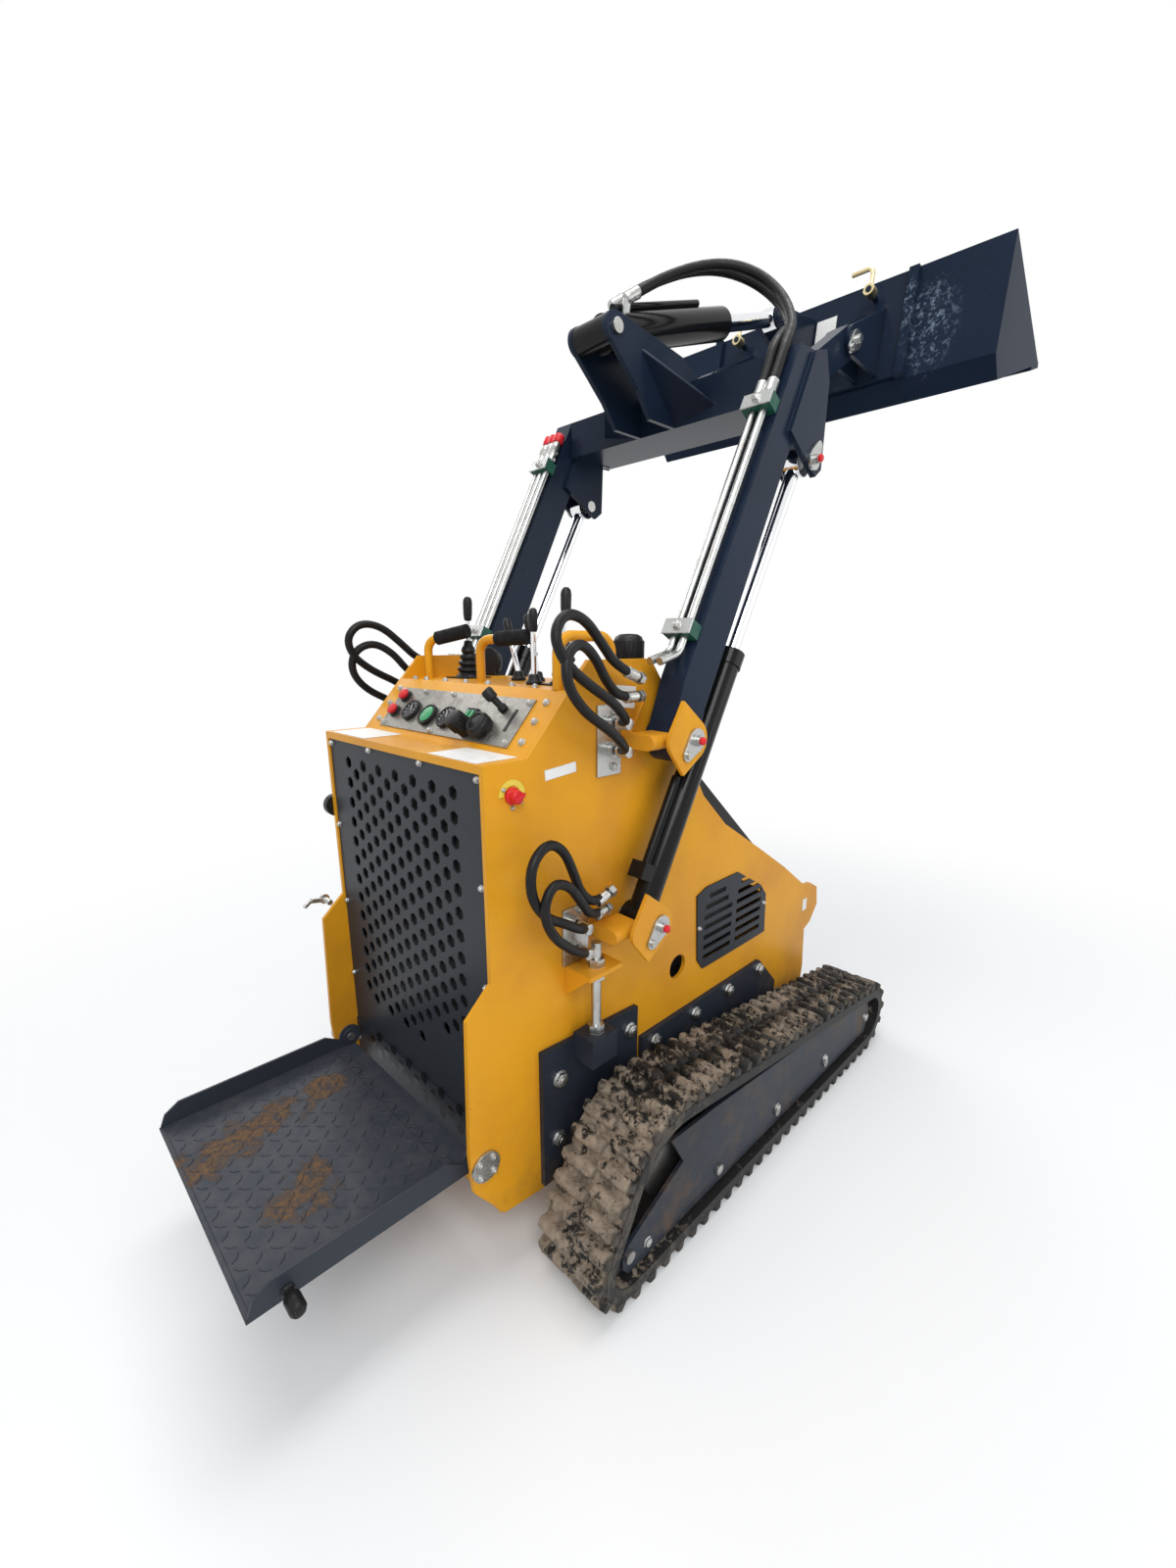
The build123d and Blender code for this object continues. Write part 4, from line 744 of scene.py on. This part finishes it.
# Distance along it, and how far each stands proud of the hose
SLEEVE = ((-34, 0.5), (-33, 3), (-24, 2.2), (-22, 3), (-13, 2.2), (-11, 3), (-4, 2.5), (-2, -1), (4, -1))
NUT = ((2, 4), (14, 4), (15.5, 2.5))


def ferrule(kit, tip, direction, radius):
    """A crimped sleeve, a step and a hexagon nut along a direction from the hose's tip."""
    for profile, sides in ((SLEEVE, 20), (NUT, 6)):
        kit.turned(tip, direction, [(distance, radius + proud) for distance, proud in profile], sides)


fittings = Kit("hose_fittings", zinc)
side_tubes = []
for index, route in enumerate(SIDE_ROUTES):
    for sign in SIDES:
        points = [(x, sign * y, z) for x, y, z in route]
        tube = hose_tube(f"side_hose_{index}_{'right' if sign > 0 else 'left'}", points, HOSE_R)
        side_tubes.append((tube, index, sign, points))
        start, second = Vector(points[0]), Vector(points[1])
        ferrule(fittings, start + (second - start).normalized() * 2, start - second, HOSE_R - 1)
for tube, index, sign, points in side_tubes:
    start, end = at(*points[-3]), at(*points[-1])
    if index < 2:
        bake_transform(tube)
    else:
        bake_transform(tube)
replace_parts(side_tubes[0][0], "side_hoses")
fittings.made()

arm_fittings = Kit("arm_fittings", zinc, "lift_frame")
barrel_fittings = {1: Kit("barrel_fittings_right", zinc, "lift_barrel_r"),
                   -1: Kit("barrel_fittings_left", zinc, "lift_barrel_l")}
for tube, index, sign, points in side_tubes:
    end, before = Vector(points[-1]), Vector(points[-2])
    kit = arm_fittings if index < 2 else barrel_fittings[sign]
    ferrule(kit, end, end - before, HOSE_R - 1)
for kit in barrel_fittings.values():
    kit.made()

top_tubes = [hose_tube(f"top_hose_{index}", route, TOP_HOSE_R) for index, route in enumerate(TOP_ROUTES)]
tilt_fittings = Kit("tilt_fittings", zinc, "tilt_barrel_body")
for tube, route in zip(top_tubes, TOP_ROUTES):
    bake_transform(tube)
    start, second = Vector(route[0]), Vector(route[1])
    end, before = Vector(route[-1]), Vector(route[-2])
    ferrule(arm_fittings, end, end - before, TOP_HOSE_R - 1)
    socket = [(-6, 12), (0, 13), (10, 13), (11, 12), (30, 13.5), (33, 11.5)]
    tilt_fittings.turned(start, second - start, socket, 20)
    tilt_fittings.rod((start.x + 4, start.y * 0.4, start.z - 44), start, 10)
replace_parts(top_tubes[0], "top_hoses")
arm_fittings.made()
tilt_fittings.made()

# ---------- lift frame: clamp plates, couplers, label
ARM_LOW, ARM_HIGH = Vector((433, 0, 1175)), Vector((786, 0, 1840))
ARM_RUN = (ARM_HIGH - ARM_LOW).normalized()
ARM_BACK = Vector((-ARM_RUN.z, 0, ARM_RUN.x))
arm_zinc = Kit("clamp_plates", zinc, "lift_frame")
for y in (-340, 344):
    for s in (90, 600):
        centre = ARM_LOW + ARM_RUN * s + ARM_BACK * 33.5 + Y * y
        arm_zinc.box(centre, (32, 68, 3), ARM_RUN, ARM_BACK)
        arm_zinc.bolt(centre + ARM_BACK * 1.5, ARM_BACK, 7, 6)
collars = Kit("coupler_collars", zinc, "lift_frame")
coupler_caps = Kit("coupler_caps", red_plastic, "lift_frame")
COLLAR = [(0, 10.5), (2, 12), (14, 12), (16, 10.5), (22, 10.5), (24, 12.5), (50, 12.5), (52, 10.5)]
for y in (322, 344, 366):
    root = ARM_LOW + ARM_RUN * 620 + ARM_BACK * 16 + Y * y
    collars.turned(root, ARM_RUN, COLLAR, 20)
    collars.turned(root, ARM_RUN, [(26, 13.5), (40, 13.5), (41, 12)], 6)
    coupler_caps.turned(root, ARM_RUN, [(56, 12), (60, 14), (78, 14), (81, 12), (82, 6)], 20)
for kit in (arm_zinc, collars, coupler_caps):
    kit.made()

attach_label = Kit("attach_label", white_label, "attachment")
BACK_LOW, BACK_TOP = Vector((1470, 0, 1963)), Vector((1512, 0, 2247))  # the bucket's back
BACK_RUN = (BACK_TOP - BACK_LOW).normalized()
BACK_OUT = Vector((-BACK_RUN.z, 0, BACK_RUN.x))
attach_label.box(BACK_LOW + BACK_RUN * 186 + BACK_OUT * 12.5 + Y * -70, (84, 62, 0.8), BACK_RUN, BACK_OUT)
attach_label.made()

# ---------- footplate's chequer pattern
tread = Kit("chequer_pattern", footplate, "footplate")
CHEQUER_PITCH, CHEQUER_ROWS, CHEQUER_COLUMNS = 27, 14, 18
CHEQUER_LONG, CHEQUER_WIDE, CHEQUER_T = 12, 3.4, 1.3  # half length, half width, height
TREAD_Z = 274.5
for row in range(CHEQUER_ROWS):
    for column in range(CHEQUER_COLUMNS):
        x = -414 + row * CHEQUER_PITCH
        y = -232 + column * CHEQUER_PITCH
        lean = 1 if (row + column) % 2 else -1
        ahead = Vector((1, lean, 0)).normalized()
        across = Vector((-lean, 1, 0)).normalized()
        middle = Vector((x, y, TREAD_Z))
        tips = [middle + ahead * CHEQUER_LONG, middle + across * CHEQUER_WIDE, middle - ahead * CHEQUER_LONG,
                middle - across * CHEQUER_WIDE]
        low = [tread.bm.verts.new(at(*spot)) for spot in tips]
        top = [tread.bm.verts.new(at(*(middle + (spot - middle) * 0.72 + Z * CHEQUER_T))) for spot in tips]
        tread.bm.faces.new(top)
        for i in range(4):
            tread.bm.faces.new((low[i], low[(i + 1) % 4], top[(i + 1) % 4], top[i]))
tread.made()

# ---------- pivot brackets of bent plate
BRACKET_T, FOLD_R, EAR_R, EAR_OUTER = 8, 28, 40, 400
# The side's corners from the pin, in X and Z
FOOT, NOSE, HEAD = (-33, -67), (-89, 0), (-39, 79)
SLOT_Y, SLOT_HALF, SLOT_R, SLOT_SIDES = 347, 22, 15, 20


def arc_points(centre, radius, start, end, steps):
    """Points of an arc in X-Z, between two angles."""
    turns = [start + (end - start) * i / steps for i in range(steps + 1)]
    return [(centre[0] + radius * cos(turn), centre[1] + radius * sin(turn)) for turn in turns]


def slab(bm, outline, y_low, y_high):
    """A plate from an X-Z outline."""
    low = [bm.verts.new(at(x, y_low, z)) for x, z in outline]
    high = [bm.verts.new(at(x, y_high, z)) for x, z in outline]
    bm.faces.new(low)
    bm.faces.new(high[::-1])
    walls(bm, low, high)


def solid(name, build, material):
    bm = bmesh.new()
    build(bm)
    return piece_from(name, bm, [material])


def inward(limb):
    """The direction across a limb of the bracket's side, towards the pin."""
    side = Vector((-limb.y, limb.x))
    return side if side.x > 0 else -side


def bracket(name, px, pz, sign):
    """A V-folded back with a rounded slot through its fold, and an outer ear round the pin."""
    foot, nose, head = (Vector((px + x, pz + z)) for x, z in (FOOT, NOSE, HEAD))
    down, up = (foot - nose).normalized(), (head - nose).normalized()
    half = acos(down.dot(up)) / 2
    centre = nose + (down + up).normalized() * FOLD_R / sin(half)
    bends = [nose + limb * FOLD_R / tan(half) - centre for limb in (down, up)]
    low_turn, high_turn = [atan2(bend.y, bend.x) % (2 * pi) for bend in bends]
    outer = arc_points(centre, FOLD_R, low_turn, high_turn, 10)
    inner = arc_points(centre, FOLD_R - BRACKET_T, high_turn, low_turn, 10)
    sheet = [tuple(foot), *outer, tuple(head), tuple(head + inward(up) * BRACKET_T), *inner,
             tuple(foot + inward(down) * BRACKET_T)]
    reach_low = atan2(foot.y - pz, foot.x - px)
    reach_high = atan2(head.y - pz, head.x - px)
    tangent_low = acos(EAR_R / hypot(*FOOT))
    tangent_high = acos(EAR_R / hypot(*HEAD))
    round_ear = arc_points((px, pz), EAR_R, reach_high - tangent_high, reach_low + tangent_low, 18)
    ear = [tuple(foot), *outer, tuple(head), *round_ear]
    y_body, y_ear, y_out = sign * -BODY_Y, sign * (EAR_OUTER - BRACKET_T), sign * EAR_OUTER

    def build(bm):
        slab(bm, sheet, y_body, y_ear)
        slab(bm, ear, y_ear, y_out)

    def build_slot(bm):
        outline = []
        for turn in turns(SLOT_SIDES):
            y = sign * SLOT_Y + copysign(SLOT_HALF, cos(turn)) + SLOT_R * cos(turn)
            outline.append((y, pz + 2 + SLOT_R * sin(turn)))
        near = [bm.verts.new(at(px - 110, y, z)) for y, z in outline]
        far = [bm.verts.new(at(px - 40, y, z)) for y, z in outline]
        bm.faces.new(near)
        bm.faces.new(far[::-1])
        walls(bm, near, far)

    plate_piece = solid(name, build, yellow_clean)
    cutter = solid(name + "_slot", build_slot, yellow_clean)
    cut = plate_piece.modifiers.new("slot", "BOOLEAN")
    cut.object = cutter
    cut.solver = "EXACT"
    bpy.context.view_layer.update()
    final = bpy.data.meshes.new_from_object(plate_piece.evaluated_get(bpy.context.evaluated_depsgraph_get()))
    plate_piece.modifiers.clear()
    plate_piece.data = final
    bpy.data.objects.remove(cutter)
    final.shade_smooth()
    final.set_sharp_from_angle(angle=radians(40))
    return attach(plate_piece, "chassis")


def switch_label(bm):
    """A half ring over the battery switch."""
    ring = arc_points(SWITCH, 28, 0, pi, 16) + arc_points(SWITCH, 17.5, pi, 0, 16)
    slab(bm, ring, BODY_Y - 1.0, BODY_Y - 0.1)


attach(solid("switch_label", switch_label, yellow_label), "chassis")

brackets = []
for label, pivot in (("arm", ARM_PIVOT), ("cylinder", CYLINDER_PIVOT)):
    for sign in (-1, 1):
        brackets.append(bracket(f"{label}_bracket_{'right' if sign < 0 else 'left'}", *pivot, sign))
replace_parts(brackets[0], "pivot_brackets")

# ---------- tracks: band and lugs with caked mud
WHEELS = [(151, 100, 100), (1252, 113, 113), (290, 190, 181)]  # X, Z, radius out to the lugs' tips
LUG_H, BAND_T = 22, 25
TRACK_IN, TRACK_OUT = 343, 515
LINKS = 62
BANDS, ROWS_ACROSS = 220, 12
LUG_STEPS = 7
LUG_PROFILE = [(-17, 2), (-14, -9), (-11.5, -19), (-8, -22), (8, -22), (11.5, -19), (14, -9), (17, 2)]
REAR_END, REAR_FADE = 420, 300  # where the rear's thick mud ends, and the length over which it grows


def belt_stations(inset, count):
    """Even stations round the belt, drawn in from the lugs' tips: (x, z, outward x, outward z)."""
    circles = [(x, z, r - inset) for x, z, r in WHEELS]
    tangents = []
    for (x0, z0, r0), (x1, z1, r1) in zip(circles, circles[1:] + circles[:1]):
        span = hypot(x1 - x0, z1 - z0)
        tilt = atan2(z1 - z0, x1 - x0) + asin((r0 - r1) / span)
        nx, nz = sin(tilt), -cos(tilt)
        tangents.append(((x0 + nx * r0, z0 + nz * r0), (x1 + nx * r1, z1 + nz * r1), (nx, nz)))
    runs = []
    for i, (start, end, normal) in enumerate(tangents):
        runs.append((dist(start, end), start, end, normal, None))
        x, z, r = circles[(i + 1) % 3]
        a = atan2(normal[1], normal[0])
        b = atan2(tangents[(i + 1) % 3][2][1], tangents[(i + 1) % 3][2][0])
        runs.append((r * ((b - a) % (2 * pi)), (x, z), r, a, "arc"))
    total = sum(run[0] for run in runs)
    stations = []
    for step in range(count):
        s = (step + 0.5) * total / count
        for length, first, second, turn, kind in runs:
            if s <= length:
                break
            s -= length
        if kind:
            angle = turn + s / second
            nx, nz = cos(angle), sin(angle)
            stations.append((first[0] + nx * second, first[1] + nz * second, nx, nz))
        else:
            share = s / length
            x, z = (a + (b - a) * share for a, b in zip(first, second))
            stations.append((x, z, *turn))
    return stations


def cake(x, y, z, rear):
    """How far mud stands up at a place."""
    rough = noise.fractal(Vector((x, y, z)) * 0.035, 0.6, 2.2, 4)
    return max(0.0, rough + 0.25) * rear


def band(bm, sign):
    """The belt's band, with mud that stands up from its outside."""
    skin = []
    for x, z, nx, nz in belt_stations(LUG_H, BANDS):
        line = []
        rear = min(1.0, max(0.1, (REAR_END - x) / REAR_FADE)) if nz > -0.6 or x < 120 else 0.1
        for j in range(ROWS_ACROSS + 1):
            y = TRACK_IN + (TRACK_OUT - TRACK_IN) * j / ROWS_ACROSS
            lift = 0 if j in (0, ROWS_ACROSS) else min(17, 16 * cake(x, y * sign, z, rear))
            line.append(bm.verts.new(at(x + nx * lift, sign * y, max(0.2, z + nz * lift))))
        skin.append(line)
    inner = belt_stations(LUG_H + BAND_T, BANDS)
    under = [[bm.verts.new(at(x, sign * y, z)) for y in (TRACK_IN, TRACK_OUT)] for x, z, nx, nz in inner]
    for i in range(BANDS):
        k = (i + 1) % BANDS
        for j in range(ROWS_ACROSS):
            bm.faces.new((skin[i][j], skin[k][j], skin[k][j + 1], skin[i][j + 1]))
        bm.faces.new((under[i][0], under[i][1], under[k][1], under[k][0]))
        bm.faces.new((skin[i][0], under[i][0], under[k][0], skin[k][0]))
        bm.faces.new((skin[i][-1], skin[k][-1], under[k][1], under[i][1]))


def lug(bm, sign, station, near, far):
    """One lug across half of the belt, worn and caked out of true."""
    x, z, nx, nz = station
    tx, tz = -nz, nx
    grid = []
    for j in range(LUG_STEPS + 1):
        y = near + (far - near) * j / LUG_STEPS
        end = j in (0, LUG_STEPS)
        line = []
        for across, depth in LUG_PROFILE:
            wobble = noise.noise_vector(Vector((x, y * sign, z + across)) * 0.11)
            a = across * (0.72 if end else 1.0) + wobble.x * 2.2
            d = depth * (0.9 if end else 1.0) + (abs(wobble.y) * 3.5 if depth < -5 else 0)
            edge = 0 if end else wobble.z * 2
            height = max(0.0, z + tz * a - nz * d)
            line.append(bm.verts.new(at(x + tx * a - nx * d, sign * (y + edge), height)))
        grid.append(line)
    made = []
    for j in range(LUG_STEPS):
        for k in range(len(LUG_PROFILE) - 1):
            made.append(bm.faces.new((grid[j][k], grid[j + 1][k], grid[j + 1][k + 1], grid[j][k + 1])))
    made.append(bm.faces.new(grid[0]))
    made.append(bm.faces.new(grid[-1][::-1]))
    for face in made:
        face.material_index = 1


def track(sign):
    side_name = "right" if sign < 0 else "left"
    bm = bmesh.new()
    band(bm, sign)
    middle = (TRACK_IN + TRACK_OUT) / 2
    for index, station in enumerate(belt_stations(LUG_H, 2 * LINKS)):
        near, far = (TRACK_IN, middle - 3) if index % 2 else (middle + 3, TRACK_OUT)
        lug(bm, sign, station, near, far)
    belt = piece_from(f"track_{side_name}", bm, [rubber, lug_rubber], 44)
    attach(belt, "chassis")
    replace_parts(belt, f"track_belt_{side_name}")


for sign in (-1, 1):
    track(sign)

# ---------- rear panel's foot, hood guard, side hook, plunger
panel_foot = Kit("rear_panel_foot", panel_slate)
FOOT_TOP, FOOT_BOTTOM, FOOT_WIDTH = 322, 222, 576
panel_foot.box((2.6, 0, (FOOT_TOP + FOOT_BOTTOM) / 2), (4, FOOT_WIDTH, FOOT_TOP - FOOT_BOTTOM))
panel_foot.made()
# Flat black hexagons on the foot: painted shade where its holes are
foot_hole_shade = Kit("rear_panel_foot_hole_shade", black_paint)
HOLE_PITCH = 68
for row, z in enumerate((320, 297, 274)):
    count = 6 if row % 2 == 0 else 7
    for column in range(count):
        y = (column - (count - 1) / 2) * HOLE_PITCH
        foot_hole_shade.turned((0.7, y, z), -X, [(0, 13.8), (0.3, 13.8)], 6, pi / 6)
foot_hole_shade.made()
panel_bolts = Kit("rear_panel_bolts", zinc)
for y in (-280, 280):
    for z in (1020, 830, 640, 450, 270):
        panel_bolts.bolt((4 if z > FOOT_TOP else 0.6, y, z), -X, 5, 4)
for y in (-100, 100):
    panel_bolts.bolt((4, y, 1024), -X, 5, 4)
panel_bolts.made()

# A black sheet behind the perforated rear panel: painted shade seen through its holes
panel_shade = Kit("panel_shade", black_satin)
panel_shade.box((24, 0, 695), (4, 570, 680))
panel_shade.made()

guard = Kit("hood_guard", black_satin)
GUARD_TOP, GUARD_FOOT = Vector((545, 0, 997)), Vector((884, 0, 706))
GUARD_RUN = (GUARD_FOOT - GUARD_TOP).normalized()
GUARD_OUT = Vector((-GUARD_RUN.z, 0, GUARD_RUN.x))
GUARD_LENGTH = (GUARD_FOOT - GUARD_TOP).length
GUARD_MIDDLE = GUARD_TOP + GUARD_RUN * GUARD_LENGTH / 2
ROWS, COLUMNS = 9, 6
for row in range(ROWS + 1):
    guard.box(GUARD_TOP + GUARD_RUN * (GUARD_LENGTH * row / ROWS), (20, 572, 4), GUARD_RUN, GUARD_OUT)
for column in range(COLUMNS + 1):
    y = -276 + 552 * column / COLUMNS
    guard.box(GUARD_MIDDLE + Y * y, (GUARD_LENGTH, 22, 3.6), GUARD_RUN, GUARD_OUT)
for sign in SIDES:
    guard.box(GUARD_MIDDLE + Y * sign * 286 - GUARD_OUT * 22, (GUARD_LENGTH, 4, 46), GUARD_RUN, GUARD_OUT)
guard.made()

hook = Kit("side_hook", zinc)
hook.rod((-30, 300, 637), (-30, 330, 637), 7)
hook.rod((-30, 326, 637), (-66, 326, 644), 6)
hook.rod((-66, 326, 644), (-84, 318, 636), 5)
hook.turned((-30, 332, 637), Y, [(0, 12), (6, 12), (8, 9)], 16)
hook.made()
boss = Kit("side_boss", dark_plastic)
boss.turned((10, 300, 870), Y, [(0, 26), (18, 26), (24, 20)], 24)
boss.made()

plunger = Kit("plunger", black_satin, "footplate")
plunger.turned((-375, -269, 283), OUTWARD, [(0, 9), (3, 11), (6, 8), (15, 8)], 18)
plunger.turned((-375, -284, 283), OUTWARD, [(0, 11), (3, 13), (28, 13), (33, 10), (34, 5)], 20)
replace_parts(plunger.made(), "platform_latch")

# Weld beads where plates meet
welds = Kit("arm_welds", slate, "lift_frame")
body_welds = Kit("body_welds", yellow)
WELD_R, WELD_PITCH = 2.6, 5.0


def weld(kit, start, end):
    """A row of overlapping beads between two points."""
    start, end = Vector(start), Vector(end)
    count = max(2, int((end - start).length / WELD_PITCH))
    for i in range(count):
        spot = start + (end - start) * (i + 0.5) / count
        bead = [(-3.4, WELD_R / 2), (-1.2, WELD_R), (1.2, WELD_R), (3.4, WELD_R / 2)]
        kit.turned(spot, end - start, bead, 8)


for sign in SIDES:
    weld(welds, (755, sign * -375, 1668), (838, sign * -375, 1838))
    weld(welds, (873, sign * -375, 1600), (755, sign * -375, 1667))
    weld(welds, (786, sign * -318, 1742), (930, sign * -305, 1742))
    for x, z in (ARM_PIVOT, CYLINDER_PIVOT):
        foot, nose, head = ((x + dx, sign * (BODY_Y - 1), z + dz) for dx, dz in (FOOT, NOSE, HEAD))
        weld(body_welds, foot, nose)
        weld(body_welds, nose, head)
welds.made()
body_welds.made()

# ---------- floor
floor_mesh = bpy.data.meshes.new("floor")
REACH = 30
floor_mesh.from_pydata([(-REACH, -REACH, 0), (REACH, -REACH, 0), (REACH, REACH, 0), (-REACH, REACH, 0)], [],
                       [(0, 1, 2, 3)])
floor = placed("floor", floor_mesh)
look = Look("floor", (0.90, 0.90, 0.90), 0.9)
grain = look.ramp(look.noise(0.5), 0.3, 0.7)
look.set("Base Color", look.mix(grain, (0.90, 0.90, 0.90), (0.88, 0.88, 0.88)))
# White beyond 3 m from the middle, for what the camera sees and what metal reflects
spread = look.node("VectorMath", {0: look.place}, operation="LENGTH")
far = look.ramp(spread.outputs["Value"], 1.0, 3.0, 0.0, 1.0)
rays = look.node("LightPath").outputs
shown = look.calc("MAXIMUM", rays["Is Camera Ray"], rays["Is Glossy Ray"])
shown = look.calc("MAXIMUM", shown, rays["Is Transmission Ray"])
bright = look.node("Emission", {"Color": (1, 1, 1), "Strength": 1.0})
floor_mix = look.node("MixShader", {
    0: look.times(far, shown), 1: look.shader.outputs[0], 2: bright.outputs[0]})
look.put(floor_mix.outputs[0], look.out.inputs["Surface"])
floor_mesh.materials.append(look.material)
